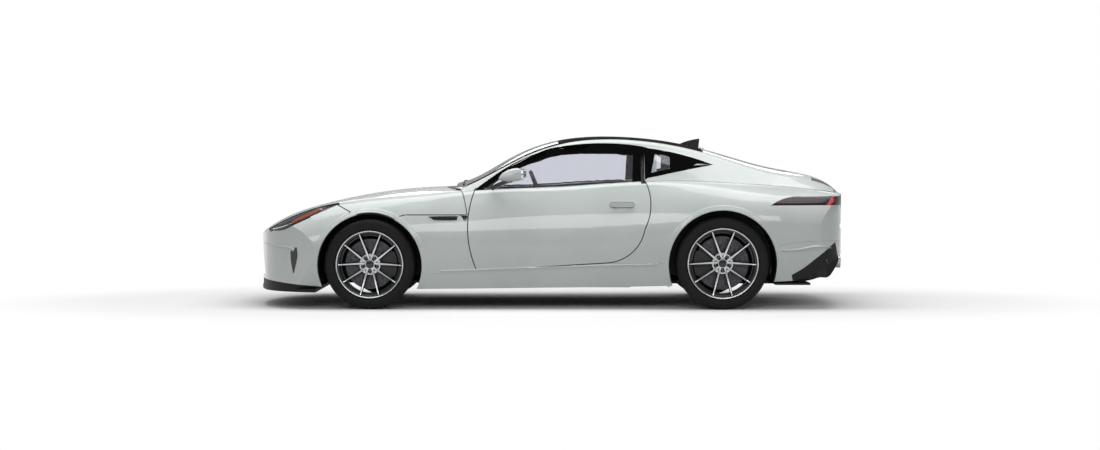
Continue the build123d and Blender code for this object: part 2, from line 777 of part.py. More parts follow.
def above_shoulder():
    """All that lies above the lower body on the left, clear of it."""
    low = Pos(0, 0, PILLAR_GAP) * lofted(whole_wire(s) for s in LOWER_BODY)
    return block((-900, 2250), (-960, 0), (700, HIGH)) - low


def quarter_panel():
    """The shell's left wall: scuttle corner, shoulder, rear wing and tail corner."""
    bumper_and_lamp = [bumper_space, side_tool(TAIL_LAMP, SEAM)]
    spaces = [bonnet_space, door_space, *left_wells, side_tool(FENDER, SEAM), side_tool(SILL, SEAM)]
    side = common(wall, band(-1000, WALL_END_X) - [*spaces, *bumper_and_lamp])
    wedge = outline((WALL_END_X - 1, 0), (2300, 0), (2300, 795), (WALL_END_X - 1, 838))
    inside = common(across(wedge, -WIDE, 1), core)
    corner = common(block((WALL_END_X, 2300), (-WIDE, 0), (BUMPER_LINE_Z, HIGH)), limits)
    corner = corner - [inside, tailgate_space, *bumper_and_lamp]
    tail = common(lofted(whole_wire(s) for s in LOWER_BODY), corner)
    deck_zone = block((1300, WALL_END_X), (-639, -560), (700, HIGH))
    deck = common(lofted(lid_wire(s) for s in LOWER_BODY), deck_zone)
    return Compound([*solids_of(side).solids(), *solids_of(tail).solids(), *solids_of(deck).solids()])


def pillar_frame():
    """The left pillars and roof rail, standing on the shoulder, with the rear side window's seat."""
    openings = [side_tool(QUARTER_OPENING), bonnet_space, door_space, side_tool(DOOR_WINDOW, SHUT_GAP)]
    tail_way = block((TAIL_FRONT_X, 2400), (-TAILGATE_HALF, 0), (TAILGATE_LOW_Z, HIGH))
    tool = common(band(-700, 2150) - [*openings, tail_way], above_shoulder())
    frame = common(lofted(frame_wire(c) for c in CABIN), tool)
    depths = (-12, GLASS_THICK + SEAT_GAP)
    return frame - common(lofted(pane_wire(c, *depths) for c in CABIN), side_tool(QUARTER_WINDOW, SEAT_GAP))


def header(x_low, x_high):
    """A bow between the roof rails, under the roof's skin."""
    return top_strip(x_low, x_high, LEDGE_WIDE + SEAT_GAP, GLASS_THICK + SEAT_GAP, FRAME_THICK - 2)


def cabin_frame():
    """Pillars and roof rails of both sides, and the bows between them, the last with the hinge lugs."""
    left = pillar_frame()
    last = header(1090, TAILGATE_X)
    x, z = TAILGATE_AXIS
    for y in (-TAILGATE_HINGE_Y, TAILGATE_HINGE_Y):
        for low, high in ((y - 24, y - 15), (y + 15, y + 24)):
            lug = rod(6, low, high, x, z) + block((x - 50, x), (low, high), (z - 34, z - 1))
            last = last + (lug - roof_skin_space())
        last = last + rod(3.5, y - 24, y + 24, x, z)
    bows = [header(30, 100), header(470, 520), last]
    return Compound([s for shape in (left, mirrored(left), *bows) for s in solids_of(shape).solids()])


def roof_skin_space():
    """The room that the roof's skin takes, cut off short of the hinges."""
    return block((0, TAILGATE_X + 0.5), (-200, 200), (1196, 1300))


# ---------------------------------------------------------------- floor and inner structure
def floor_pan():
    """The flat floor, with room for the wheels and a tunnel along the middle."""
    plate = block((-1700, 1950), (-778, 778), (FLOOR_Z, FLOOR_TOP))
    cuts = []
    for wheel in (FRONT_WHEEL, REAR_WHEEL):
        half = wheel.arch_radius + 4
        for sign in (-1, 1):
            low, high = sorted((sign * (wheel.well_y - 8), sign * 1000))
            cuts.append(block((wheel.axle_x - half, wheel.axle_x + half), (low, high), (0, 400)))
    front_corners = upright(CORE, 100, 400)
    tunnel = block((-690, 900), (-140, 140), (FLOOR_Z, TUNNEL_Z))
    hollow = block((-700, 910), (-128, 128), (100, TUNNEL_Z - 12))
    return common(plate, front_corners) - cuts + tunnel - hollow


def firewall():
    """The wall ahead of the cabin, with the door posts and the fixed halves of the door hinges."""
    wall_plate = block((FIREWALL_X - 18, FIREWALL_X), (-636, 636), (FLOOR_TOP + SEAT_GAP, 847.5))
    parts = []
    for side in (-1, 1):
        low, high = sorted((side * 630, side * POST_Y))
        parts.append(block((-710, -480), (low, high), (FLOOR_TOP + SEAT_GAP, POST_TOP)))
    for z in DOOR_HINGE_HEIGHTS:
        lugs = hinge_lugs(z)
        parts += [lugs, mirrored(lugs)]
    return wall_plate.fuse(*parts)


def wheel_liners():
    """The liners over the wheels, half rings that follow the arches."""
    liners = []
    for wheel, outer_y in ((FRONT_WHEEL, 872.0), (REAR_WHEEL, 905.0)):
        centre_z = wheel.radius_tyre + wheel.arch_rise
        outer = rod(wheel.arch_radius - SEAT_GAP, -outer_y, -wheel.well_y - 2, wheel.axle_x, centre_z)
        inner = rod(wheel.arch_radius - 4.3, -WIDE, 0, wheel.axle_x, centre_z)
        half = outer - inner - block((-2300, 2300), (-WIDE, 0), (-400, FLOOR_TOP + 5))
        liners += [half, mirrored(half)]
    return Compound([s for half in liners for s in half.solids()])


def dashboard():
    """The dashboard with its column tube and the console along the tunnel."""
    front = FIREWALL_X + SEAT_GAP
    low = TUNNEL_Z + SEAT_GAP
    section = outline(
        (front, 620), (front, 835), (-630, 844), (-560, 862), (-400, 858), (-330, 800), (-380, 640)
    )
    spine = outline((front, low), (front, 625), (-380, 645), (-260, 520), (420, 500), (470, low))
    panel = across(section, -DASH_Y, DASH_Y)
    console = across(spine, -115, 115)
    start, end = column_point(300), column_point(62)
    tube = bar(34, start, end) - bar(12.3, column_point(190), column_point(30))
    return panel + console + tube


WHEEL_CENTRE = (-85.0, -370.0, 862.0)
COLUMN_TILT = 22.0


def column_point(along):
    """A point on the steering column's axis, that far ahead of the wheel's centre."""
    turn = math.radians(COLUMN_TILT)
    x, y, z = WHEEL_CENTRE
    return (x - along * math.cos(turn), y, z - along * math.sin(turn))


def steering_wheel():
    """The wheel: rim, hub, three spokes, and the shaft that runs in the column."""
    rim = Torus(168, 15)
    hub = Pos(0, 0, -8) * Cylinder(48, 36)
    spokes = [Rot(0, 0, turn) * Pos(100, 0, -4) * Box(124, 34, 12) for turn in (0, 90, 180)]
    shaft = Pos(0, 0, -90) * Cylinder(12, 150)
    whole_wheel = rim.fuse(hub, *spokes, shaft)
    return Pos(*WHEEL_CENTRE) * Rot(0, 90 - COLUMN_TILT, 0) * Rot(0, 0, 180) * whole_wheel


def seat(y):
    """One bucket seat on its rails."""
    cushion = outline((-60, 262), (-60, 330), ((-30, 372), (60, 372)), (420, 330), (440, 262))
    back = outline((400, 280), (470, 262), (690, 880), ((690, 960), (600, 960)), ((560, 930), (552, 880)))
    base = across(cushion, y - 240, y + 240) + across(back, y - 235, y + 235)
    rails = [block((0, 400), (y + dy - 15, y + dy + 15), (FLOOR_TOP + SEAT_GAP, 270)) for dy in (-170, 170)]
    return base.fuse(*rails)


def seats():
    """Both seats."""
    return Compound([*seat(-385).solids(), *seat(385).solids()])


def engine_block():
    """The engine as one plain block, on the front crossmember and a rear foot."""
    block_part = block((-1430, -780), (-220, 220), (270 + SEAT_GAP, 660))
    foot = block((-840, -790), (-60, 60), (FLOOR_TOP + SEAT_GAP, 280))
    return block_part + foot


# ---------------------------------------------------------------- wheels
def lathe(wheel, points):
    """A ring turned from (outward, radius) points around the wheel's axle, on the left side."""
    face = make_face(Polyline(*[(p[1], p[0]) for p in points], close=True))
    ring_shape = revolve(face, Axis.Y)
    return Pos(wheel.axle_x, -wheel.centre_y, wheel.radius_tyre) * Rot(180, 0, 0) * ring_shape


def tyre(wheel):
    """The tyre: a hollow ring with rounded shoulders, its beads between the rim's flanges."""
    r, half, rim = wheel.radius_tyre, wheel.width_tyre / 2, wheel.radius_rim
    bead = rim - 14 + SEAT_GAP
    wall_r = (r + rim) / 2
    section = [
        (-half + 16, bead), (-half + 16, rim + 1), (-half, wall_r), (-half + 6, r - 22), (-half + 24, r - 5),
        (-half + 60, r), (half - 60, r), (half - 24, r - 5), (half - 6, r - 22), (half, wall_r),
        (half - 16, rim + 1), (half - 16, bead), (half - 34, bead), (half - 34, rim + 4),
        (half - 16, wall_r),
        (half - 26, r - 24), (half - 60, r - 15), (-half + 60, r - 15), (-half + 26, r - 24),
        (-half + 16, (r + rim) / 2), (-half + 34, rim + 4), (-half + 34, bead),
    ]
    return lathe(wheel, section)


def rim(wheel):
    """The wheel: barrel with flanges, hub, ten spokes in pairs, and a bore for the spindle."""
    half, r = wheel.width_tyre / 2, wheel.radius_rim
    barrel = lathe(
        wheel,
        [
            (-half + 4, r), (-half + 15.7, r), (-half + 15.7, r - 14), (half - 15.7, r - 14),
            (half - 15.7, r), (half - 4, r), (half - 4, r - 24), (-half + 4, r - 24),
        ],
    )
    face = half - 42
    hub = lathe(wheel, [(26, 20 + SEAT_GAP), (26, 78), (face - 6, 78), (face - 6, 20 + SEAT_GAP)])
    cap = lathe(wheel, [(face - 12, 0), (face - 12, 30), (face, 30), (face, 0)])
    reach = r - 20 - 60
    spokes = []
    for number in range(5):
        for lean in (-13, 13):
            spoke = Pos(0, -face, 60 + reach / 2) * Box(20, 24, reach)
            spokes.append(Rot(0, 72 * number + lean, 0) * spoke)
    spokes = [Pos(wheel.axle_x, -wheel.centre_y, wheel.radius_tyre) * s for s in spokes]
    return barrel.fuse(hub, cap, *spokes)


def brake_disc(wheel):
    """The disc with its bell, on the wheel's hub."""
    r = wheel.radius_rim - 62
    seat = 26 - SEAT_GAP
    return lathe(wheel, [(-8, 92), (-8, r), (22, r), (22, 84), (seat, 84), (seat, 21), (12, 21), (12, 92)])


def caliper(wheel, side):
    """The caliper over the disc's edge, on the given side of the axle along X."""
    r = wheel.radius_rim - 62
    outer = lathe(wheel, [(-38, 96), (-38, r + 14), (50, r + 14), (50, 96)])
    slot = lathe(wheel, [(-14, 60), (-14, r + 6), (28, r + 6), (28, 60)])
    reach = wheel.radius_rim
    low, high = sorted((wheel.axle_x + side * 88, wheel.axle_x + side * reach))
    zone = block((low, high), (-WIDE, 0), (wheel.radius_tyre - 92, wheel.radius_tyre + 92))
    return common(outer, zone) - slot


KINGPIN_Y = 735.0


def knuckle():
    """The front left upright: pins for the arms, spindle and caliper with its carrier."""
    wheel = FRONT_WHEEL
    x, z = wheel.axle_x, wheel.radius_tyre
    post_part = block((x - 24, x + 24), (-KINGPIN_Y - 12, -KINGPIN_Y + 20), (244, 446))
    pins = [post(10, 196, 250, x, -KINGPIN_Y), post(10, 440, 486, x, -KINGPIN_Y)]
    spindle = rod(20, -wheel.centre_y - 52, -KINGPIN_Y, x, z)
    carrier = block((x, x + 130), (-KINGPIN_Y - 22, -KINGPIN_Y + 4), (z - 45, z + 45))
    return post_part.fuse(*pins, spindle, carrier, caliper(wheel, 1))


def front_suspension():
    """Crossmember, spring towers, wishbones with their eyes, and the spring units."""
    x = FRONT_AXLE_X
    parts = [block((x - 100, x + 100), (-440, 440), (FLOOR_TOP + SEAT_GAP, 270))]
    for side in (-1, 1):
        for low, high in ((206, 232), (454, 478)):
            eye = post(24, low, high, x, side * KINGPIN_Y)
            y_low, y_high = sorted((side * 400, side * KINGPIN_Y))
            arm = block((x - 22, x + 22), (y_low, y_high), (low, high))
            parts.append(eye + arm - post(10 + SEAT_GAP, low - 5, high + 5, x, side * KINGPIN_Y))
        y_low, y_high = sorted((side * 370, side * 440))
        parts.append(block((x - 60, x + 60), (y_low, y_high), (200, 600)))
        parts.append(post(36, 225, 590, x, side * 560))
        y_low, y_high = sorted((side * 430, side * 600))
        parts.append(block((x - 40, x + 40), (y_low, y_high), (578, 600)))
    return parts[0].fuse(*parts[1:])


def rear_suspension():
    """Crossmember, arms, spring units, uprights with spindles, and the calipers."""
    wheel = REAR_WHEEL
    x, z = wheel.axle_x, wheel.radius_tyre
    parts = [block((x - 120, x + 120), (-560, 560), (FLOOR_TOP + SEAT_GAP, 280))]
    left = [
        block((x - 26, x + 26), (-752, -700), (225, 470)),
        block((x - 22, x + 22), (-740, -540), (236, 262)),
        block((x - 22, x + 22), (-740, -540), (440, 464)),
        block((x - 50, x + 50), (-575, -520), (200, 620)),
        rod(20, -wheel.centre_y - 52, -720, x, z),
        block((x - 120, x), (-776, -740), (z - 45, z + 45)),
        caliper(wheel, -1),
    ]
    unit = left[0].fuse(*left[1:])
    return parts[0].fuse(unit, mirrored(unit))


def exhaust():
    """Two silencers on the floor's rear end, each with a tail pipe through the diffuser."""
    parts = []
    for side in (-1, 1):
        low, high = sorted((side * 180, side * 440))
        box_part = block((1700, 1900), (low, high), (240, 400))
        pipe = bar(PIPE_R, (1890, side * PIPE_Y, PIPE_Z), (2205, side * PIPE_Y, PIPE_Z))
        bore = bar(PIPE_R - 5, (1930, side * PIPE_Y, PIPE_Z), (2300, side * PIPE_Y, PIPE_Z))
        parts += (box_part + pipe - bore).solids()
    return Compound(parts)


# ---------------------------------------------------------------- assembly
def keep_pair(name, shape):
    """Stores a left piece and its mirror image."""
    keep(f"{name}_left", shape)
    keep(f"{name}_right", mirrored(shape))


def build():
    """Makes every piece and stores it under its node name."""
    keep("front_bumper", front_bumper())
    keep("grille", grille())
    keep("splitter", splitter())
    keep("bonnet", bonnet())
    keep("cowl", cowl())
    keep("windscreen", windscreen())
    keep("roof_panel", roof_panel())
    keep("cabin_frame", cabin_frame())
    keep("tailgate", tailgate())
    keep("backlight", backlight())
    keep("rear_bumper", rear_bumper())
    keep("diffuser", diffuser())
    keep("exhaust", exhaust())
    keep("antenna_fin", antenna_fin())
    keep("floor_pan", floor_pan())
    keep("firewall", firewall())
    keep("wheel_liners", wheel_liners())
    keep("dashboard", dashboard())
    keep("seats", seats())
    keep("engine_block", engine_block())
    keep("front_suspension", front_suspension())
    keep("rear_suspension", rear_suspension())
    keep("steering_wheel", steering_wheel())
    keep_pair("headlamp", headlamp())
    keep_pair("fender", fender())
    keep_pair("sill", sill())
    keep_pair("quarter_panel", quarter_panel())
    keep_pair("quarter_glass", quarter_glass())
    keep_pair("tail_lamp", tail_lamp())
    keep_pair("door", door())
    keep_pair("door_glass", door_glass())
    keep_pair("mirror", mirror_unit())
    keep_pair("knuckle", knuckle())
    for end, wheel in (("front", FRONT_WHEEL), ("rear", REAR_WHEEL)):
        keep_pair(f"tyre_{end}", tyre(wheel))
        keep_pair(f"rim_{end}", rim(wheel))
        keep_pair(f"disc_{end}", brake_disc(wheel))


build()
for name, shape in NODES.items():
    export_step(shape, f"parts/{name}.step")
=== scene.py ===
"""Two-door coupe car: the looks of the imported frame, in metres.

Nose towards -X, left side towards -Y, up +Z. The origin is on the ground at mid-length.
"""
import json
import math

import bmesh
import bpy
import numpy as np
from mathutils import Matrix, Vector


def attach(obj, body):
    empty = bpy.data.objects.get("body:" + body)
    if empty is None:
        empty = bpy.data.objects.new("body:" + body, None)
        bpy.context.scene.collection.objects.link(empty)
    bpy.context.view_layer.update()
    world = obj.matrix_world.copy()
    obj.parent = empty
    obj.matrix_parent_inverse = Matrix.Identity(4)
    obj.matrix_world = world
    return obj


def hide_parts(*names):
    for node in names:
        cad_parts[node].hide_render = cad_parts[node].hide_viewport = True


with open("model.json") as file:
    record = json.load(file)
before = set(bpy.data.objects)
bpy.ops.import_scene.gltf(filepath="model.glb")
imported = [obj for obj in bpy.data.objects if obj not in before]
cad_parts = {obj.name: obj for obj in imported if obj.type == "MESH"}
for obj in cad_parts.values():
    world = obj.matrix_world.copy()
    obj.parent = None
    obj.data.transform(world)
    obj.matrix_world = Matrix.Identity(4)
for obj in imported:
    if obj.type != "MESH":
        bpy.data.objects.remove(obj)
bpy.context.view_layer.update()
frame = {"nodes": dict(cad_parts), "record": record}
NODES = frame["nodes"]

# The camera: image size, focal length and the horizon's row in pixels; its place in metres.
IMAGE = (1100, 450)
FOCAL_PX = 2027.0
EYE = (0.0, -15.93, 1.10)
HORIZON_PX = 161.4
SIDES = {"left": -1.0, "right": 1.0}
MM = 0.001


# ---------------------------------------------------------------- materials

def linear(code):
    """The linear colour of an sRGB hex value such as "A0B1C2"."""
    srgb = np.array([int(code[i:i + 2], 16) for i in (0, 2, 4)]) / 255.0
    low = srgb / 12.92
    high = ((srgb + 0.055) / 1.055) ** 2.4
    return (*np.where(srgb <= 0.04045, low, high).tolist(), 1.0)


def add(tree, kind, links=None, **settings):
    """Adds a node; settings are its properties or sockets, links feed its sockets."""
    made = tree.nodes.new(kind)
    for name, value in settings.items():
        if name in made.bl_rna.properties:
            setattr(made, name, value)
        else:
            made.inputs[name.replace("_", " ")].default_value = value
    for socket, source in (links or {}).items():
        tree.links.new(source, made.inputs[socket])
    return made


DRIFT_BAND = (0.35, 0.65)  # the part of the noise's range over which the colour changes


def mottled(tree, shader, size_mm, dark, light, detail=4.0, stretch=(1, 1, 1)):
    """Base colour that drifts between two hex colours over patches of size_mm."""
    spot = add(tree, "ShaderNodeTexCoord")
    place = add(tree, "ShaderNodeMapping", {"Vector": spot.outputs["Object"]}, Scale=stretch)
    noise = add(tree, "ShaderNodeTexNoise", {"Vector": place.outputs["Vector"]},
                Scale=1.0 / (size_mm * MM), Detail=detail)
    ramp = add(tree, "ShaderNodeValToRGB", {"Fac": noise.outputs["Fac"]})
    for stop, position, colour in zip(ramp.color_ramp.elements, DRIFT_BAND, (dark, light)):
        stop.position, stop.color = position, linear(colour)
    tree.links.new(ramp.outputs["Color"], shader.inputs["Base Color"])


def grained(tree, shader, size_mm, height_mm, strength=0.6, cells=False):
    """Fine relief: noise, or pebbles with cells, of size_mm lifts the surface by height_mm."""
    spot = add(tree, "ShaderNodeTexCoord")
    kind, output = ("ShaderNodeTexVoronoi", "Distance") if cells else ("ShaderNodeTexNoise", "Fac")
    pattern = add(tree, kind, {"Vector": spot.outputs["Object"]}, Scale=1.0 / (size_mm * MM))
    bump = add(tree, "ShaderNodeBump", {"Height": pattern.outputs[output]}, Strength=strength,
               Distance=height_mm * MM)
    tree.links.new(bump.outputs["Normal"], shader.inputs["Normal"])


def rough_drift(tree, shader, size_mm, low, high):
    """Roughness that drifts between low and high over patches of size_mm."""
    spot = add(tree, "ShaderNodeTexCoord")
    noise = add(tree, "ShaderNodeTexNoise", {"Vector": spot.outputs["Object"]},
                Scale=1.0 / (size_mm * MM), Detail=3.0)
    spread = add(tree, "ShaderNodeMapRange", {"Value": noise.outputs["Fac"]}, To_Min=low,
                 To_Max=high)
    tree.links.new(spread.outputs["Result"], shader.inputs["Roughness"])


def finish(name, colour, rough, metal=0.0, drift=None, grain=None, polish=None, **sockets):
    """A Principled material with plain values on its sockets. Where given, drift goes to
    mottled, grain to grained and polish to rough_drift."""
    made = bpy.data.materials.new(name)
    made.use_nodes = True
    tree = made.node_tree
    shader = tree.nodes["Principled BSDF"]
    values = {"Base Color": linear(colour), "Roughness": rough, "Metallic": metal, **sockets}
    for socket, value in values.items():
        shader.inputs[socket.replace("_", " ")].default_value = value
    for dress, given in ((mottled, drift), (grained, grain), (rough_drift, polish)):
        if given:
            dress(tree, shader, *given)
    return made


FLOOR_ROUND = (0.24, 0.42, 0.0)  # scales x and y so that the floor fades in an oval
FADE_FROM, FADE_TO = 0.62, 1.15  # where it fades, as a scaled distance from the middle


def paper_sweep():
    """White paper floor: shows the car's shadow near it and is plain white far off."""
    made = bpy.data.materials.new("white_paper_sweep")
    made.use_nodes = True
    tree = made.node_tree
    tree.nodes.clear()
    path = add(tree, "ShaderNodeLightPath")
    seen = add(tree, "ShaderNodeMath", {0: path.outputs["Is Camera Ray"],
                                        1: path.outputs["Is Glossy Ray"]}, operation="MAXIMUM")
    seen = add(tree, "ShaderNodeMath", {0: seen.outputs[0], 1: path.outputs["Is Transmission Ray"]},
               operation="MAXIMUM")
    tone = add(tree, "ShaderNodeMix", {"Factor": seen.outputs[0]}, data_type="RGBA")
    tone.inputs["A"].default_value = linear("8C8F8F")
    tone.inputs["B"].default_value = (1.0, 1.0, 1.0, 1.0)
    paper = add(tree, "ShaderNodeBsdfDiffuse", {"Color": tone.outputs["Result"]})
    plain = add(tree, "ShaderNodeEmission", {"Strength": seen.outputs[0]})
    spot = add(tree, "ShaderNodeTexCoord")
    place = add(tree, "ShaderNodeMapping", {"Vector": spot.outputs["Object"]}, Scale=FLOOR_ROUND)
    reach = add(tree, "ShaderNodeVectorMath", {0: place.outputs["Vector"]}, operation="LENGTH")
    fade = add(tree, "ShaderNodeMapRange", {"Value": reach.outputs["Value"]},
               interpolation_type="SMOOTHERSTEP", From_Min=FADE_FROM, From_Max=FADE_TO)
    blend = add(tree, "ShaderNodeMixShader", {"Fac": fade.outputs["Result"], 1: paper.outputs[0],
                                              2: plain.outputs[0]})
    add(tree, "ShaderNodeOutputMaterial", {"Surface": blend.outputs[0]})
    return made


FINISH = {
    # White base coat under clear lacquer on steel: a soft broad shine under a sharp one.
    "body_paint": finish("white_lacquered_paint", "D3DAD7", 0.38,
                         drift=(260.0, "D0D7D4", "D6DDDA", 2.0), polish=(1.2, 0.34, 0.42),
                         Coat_Weight=1.0, Coat_Roughness=0.04),
    # Piano-black lacquered panel: deep, wet, mirrors the surroundings.
    "gloss_black": finish("gloss_black_lacquer", "050506", 0.15,
                          drift=(180.0, "090A0C", "0E0F11", 2.0), Specular_IOR_Level=0.4,
                          Coat_Weight=0.5, Coat_Roughness=0.03),
    # Moulded black polypropylene with a fine grain of about 1 mm.
    "satin_black": finish("moulded_black_plastic", "0B0C0D", 0.5, drift=(25.0, "090A0B", "0E0F10"),
                          grain=(1.2, 0.08), Specular_IOR_Level=0.3),
    # Clear float glass with a faint cool tint and barely uneven polish.
    "glass": finish("tinted_float_glass", "E7E8EE", 0.0, polish=(90.0, 0.0, 0.012),
                    Transmission_Weight=1.0, IOR=1.5),
    # Smoked polycarbonate over black housings: near black, very glossy.
    "lamp_dark": finish("smoked_polycarbonate", "0C0D10", 0.1,
                        drift=(60.0, "0F1114", "24272D", 2.0, (1.0, 1.0, 3.0)),
                        Specular_IOR_Level=0.4, Coat_Weight=0.4, Coat_Roughness=0.02),
    # Dark ruby acrylic lens: purple-black in shade.
    "tail_red": finish("dark_ruby_acrylic", "1C0512", 0.12, drift=(45.0, "12040D", "2A0719", 2.0),
                       Specular_IOR_Level=0.3, Coat_Weight=0.25, Coat_Roughness=0.03),
    # Diamond-turned cast aluminium face under clear lacquer, with turning marks 2 mm apart.
    "rim_alloy": finish("diamond_turned_aluminium", "C9CBCC", 0.22, 1.0,
                        drift=(40.0, "BFC1C3", "D2D4D5", 2.0), grain=(2.0, 0.03, 0.25),
                        Coat_Weight=0.6, Coat_Roughness=0.08),
    # Moulded carbon-black tyre rubber: dull, slightly dusty.
    "tyre_rubber": finish("vulcanised_rubber", "121213", 0.8, drift=(35.0, "0F0F10", "171717"),
                          grain=(2.5, 0.15, 0.5), Specular_IOR_Level=0.35),
    # Ground grey iron, swept bright by the pads, dull between the sweeps.
    "disc_iron": finish("ground_grey_iron", "4A4A4D", 0.38, 1.0, drift=(18.0, "3C3C3F", "545457")),
    # Dipped black primer on pressed steel: satin, with a thin film of road dust.
    "chassis_black": finish("dipped_black_primer", "1B1C1D", 0.55, drift=(60.0, "161718", "262625"),
                            polish=(40.0, 0.45, 0.65)),
    # Sand-cast aluminium: pale grey and grainy.
    "engine_alloy": finish("sand_cast_aluminium", "8F9092", 0.55, 1.0,
                           drift=(20.0, "818284", "9A9B9D"), grain=(3.0, 0.3)),
    # Black pigmented hide: pebble grain of about 3 mm, soft shine on the crowns.
    "leather": finish("black_pigmented_leather", "1C1B1C", 0.5, drift=(70.0, "171617", "242223"),
                      grain=(3.0, 0.35, 0.6, True), Sheen_Weight=0.15, Sheen_Roughness=0.5),
    # Slush-moulded dashboard skin: charcoal, almost without shine.
    "trim_dark": finish("slush_moulded_skin", "1D1D1F", 0.62, drift=(50.0, "18181A", "252527"),
                        grain=(2.5, 0.2, 0.5, True)),
    # Brushed stainless steel, a little straw-coloured by heat.
    "exhaust_steel": finish("brushed_stainless_steel", "B5B3AE", 0.28, 1.0,
                            drift=(40.0, "A8A49C", "BFBDB9", 4.0, (1.0, 6.0, 6.0))),
}
# Dark grey enamel sprayed on cast aluminium.
GUNMETAL = finish("gunmetal_enamel", "2E3033", 0.34, 0.6, drift=(30.0, "292B2E", "35373A"),
                  Coat_Weight=0.5, Coat_Roughness=0.12)
# Matt black sponge rubber, as on window seals and roof mouldings.
RUBBER = finish("sponge_rubber_seal", "060607", 0.9, drift=(12.0, "050506", "080809"),
                Specular_IOR_Level=0.05)
# Windscreen glass with an anti-glare coating: reflects little, tints to grey.
COATED = finish("coated_windscreen_glass", "B4B7BA", 0.0, polish=(90.0, 0.0, 0.012),
                Transmission_Weight=1.0, IOR=1.12)
# Amber and red acrylic with pyramid optics about 4 mm across.
AMBER = finish("amber_acrylic", "8A3F18", 0.18, drift=(12.0, "6E2D10", "A8521F"),
               grain=(4.0, 0.3, 0.5, True), Coat_Weight=0.5)
RED = finish("red_acrylic", "C81E1C", 0.18, drift=(12.0, "B01414", "DC3026"),
             grain=(4.0, 0.3, 0.5, True), Coat_Weight=1.0)
# Vacuum-metallised reflector bowl: mirror bright.
CHROME = finish("metallised_reflector", "D8DADD", 0.08, 1.0, drift=(30.0, "D2D4D8", "DEE0E2"))
FLOOR = paper_sweep()


# ---------------------------------------------------------------- meshes and objects

def new_object(name, points, faces=()):
    """An object in the scene with a new mesh of these points and faces."""
    mesh = bpy.data.meshes.new(name)
    mesh.from_pydata(np.asarray(points, float).tolist(), [], np.asarray(faces, int).tolist())
    obj = bpy.data.objects.new(name, mesh)
    bpy.context.scene.collection.objects.link(obj)
    return obj


def points_of(mesh):
    """A mesh's points as an (n, 3) array."""
    points = np.empty(len(mesh.vertices) * 3)
    mesh.vertices.foreach_get("co", points)
    return points.reshape(-1, 3)


def triangles_of(mesh):
    """A mesh's faces as an (n, 3) array of point numbers."""
    mesh.calc_loop_triangles()
    faces = np.empty(len(mesh.loop_triangles) * 3, int)
    mesh.loop_triangles.foreach_get("vertices", faces)
    return faces.reshape(-1, 3)


def remove(obj):
    """Takes an object and its mesh out of the file."""
    mesh = obj.data
    bpy.data.objects.remove(obj)
    bpy.data.meshes.remove(mesh)


def shown(obj):
    """The object as its modifiers make it now."""
    bpy.context.view_layer.update()
    return obj.evaluated_get(bpy.context.evaluated_depsgraph_get())


# ---------------------------------------------------------------- light, floor, camera

# Each lamp: its name, watts, length and width, place and the point it is aimed at, in metres.
LAMPS = (("overhead", 190.0, (7.0, 3.4), (0.0, -0.6, 5.2), (0.0, 0.0, 0.4)),
         ("near_side", 175.0, (8.0, 2.0), (0.0, -8.5, 3.6), (0.0, 0.0, 0.7)),
         ("far_side", 115.0, (8.0, 2.0), (0.0, 8.5, 3.6), (0.0, 0.0, 0.7)))
SKY_LIGHT = 0.4  # what the world gives as light; seen straight or through glass it is 1
FLOOR_HALF = 30.0
SENSOR_WIDTH = 36.0


def studio():
    """White world, the lamps, the paper floor and the camera."""
    scene = bpy.context.scene
    scene.view_settings.view_transform = "Standard"
    world = bpy.data.worlds.new("studio")
    scene.world = world
    world.use_nodes = True
    tree = world.node_tree
    tree.nodes.clear()
    path = add(tree, "ShaderNodeLightPath")
    seen = add(tree, "ShaderNodeMath", {0: path.outputs["Is Camera Ray"],
                                        1: path.outputs["Is Transmission Ray"]},
               operation="MAXIMUM")
    level = add(tree, "ShaderNodeMapRange", {"Value": seen.outputs[0]}, To_Min=SKY_LIGHT,
                To_Max=1.0)
    sky = add(tree, "ShaderNodeBackground", {"Strength": level.outputs["Result"]},
              Color=(1.0, 1.0, 1.0, 1.0))
    add(tree, "ShaderNodeOutputWorld", {"Surface": sky.outputs[0]})
    for name, power, size, spot, aim in LAMPS:
        lamp = bpy.data.lights.new(name, "AREA")
        lamp.shape = "RECTANGLE"
        lamp.size, lamp.size_y = size
        lamp.energy = power
        holder = bpy.data.objects.new(name, lamp)
        holder.location = spot
        holder.rotation_euler = (Vector(aim) - Vector(spot)).to_track_quat("-Z", "Y").to_euler()
        scene.collection.objects.link(holder)
    corners = np.array([(-1, -1, 0), (1, -1, 0), (1, 1, 0), (-1, 1, 0)]) * FLOOR_HALF
    floor = new_object("floor", corners, [(0, 1, 2, 3)])
    floor.data.materials.append(FLOOR)
    data = bpy.data.cameras.new("camera")
    data.sensor_width = SENSOR_WIDTH
    data.lens = FOCAL_PX / IMAGE[0] * SENSOR_WIDTH
    data.clip_end = 200.0
    camera = bpy.data.objects.new("camera", data)
    pitch = math.atan2(IMAGE[1] / 2 - HORIZON_PX, FOCAL_PX)
    camera.location = EYE
    camera.rotation_euler = (math.pi / 2 - pitch, 0.0, 0.0)
    scene.collection.objects.link(camera)
    scene.camera = camera


studio()


# ---------------------------------------------------------------- shapes

def turns(steps):
    """Angles of one full turn, the last one step short of the first."""
    return np.linspace(0, 2 * np.pi, steps, endpoint=False)


def grid(points, wrap_rows=False, wrap_cols=False):
    """Quads over an (n, m, 3) array of points; a wrapped direction joins its end to its start."""
    n, m = points.shape[:2]
    i, j = np.meshgrid(np.arange(n if wrap_rows else n - 1),
                       np.arange(m if wrap_cols else m - 1), indexing="ij")
    down, right = (i + 1) % n, (j + 1) % m
    quads = np.stack([i * m + j, down * m + j, down * m + right, i * m + right], -1)
    return points.reshape(-1, 3), quads.reshape(-1, 4)


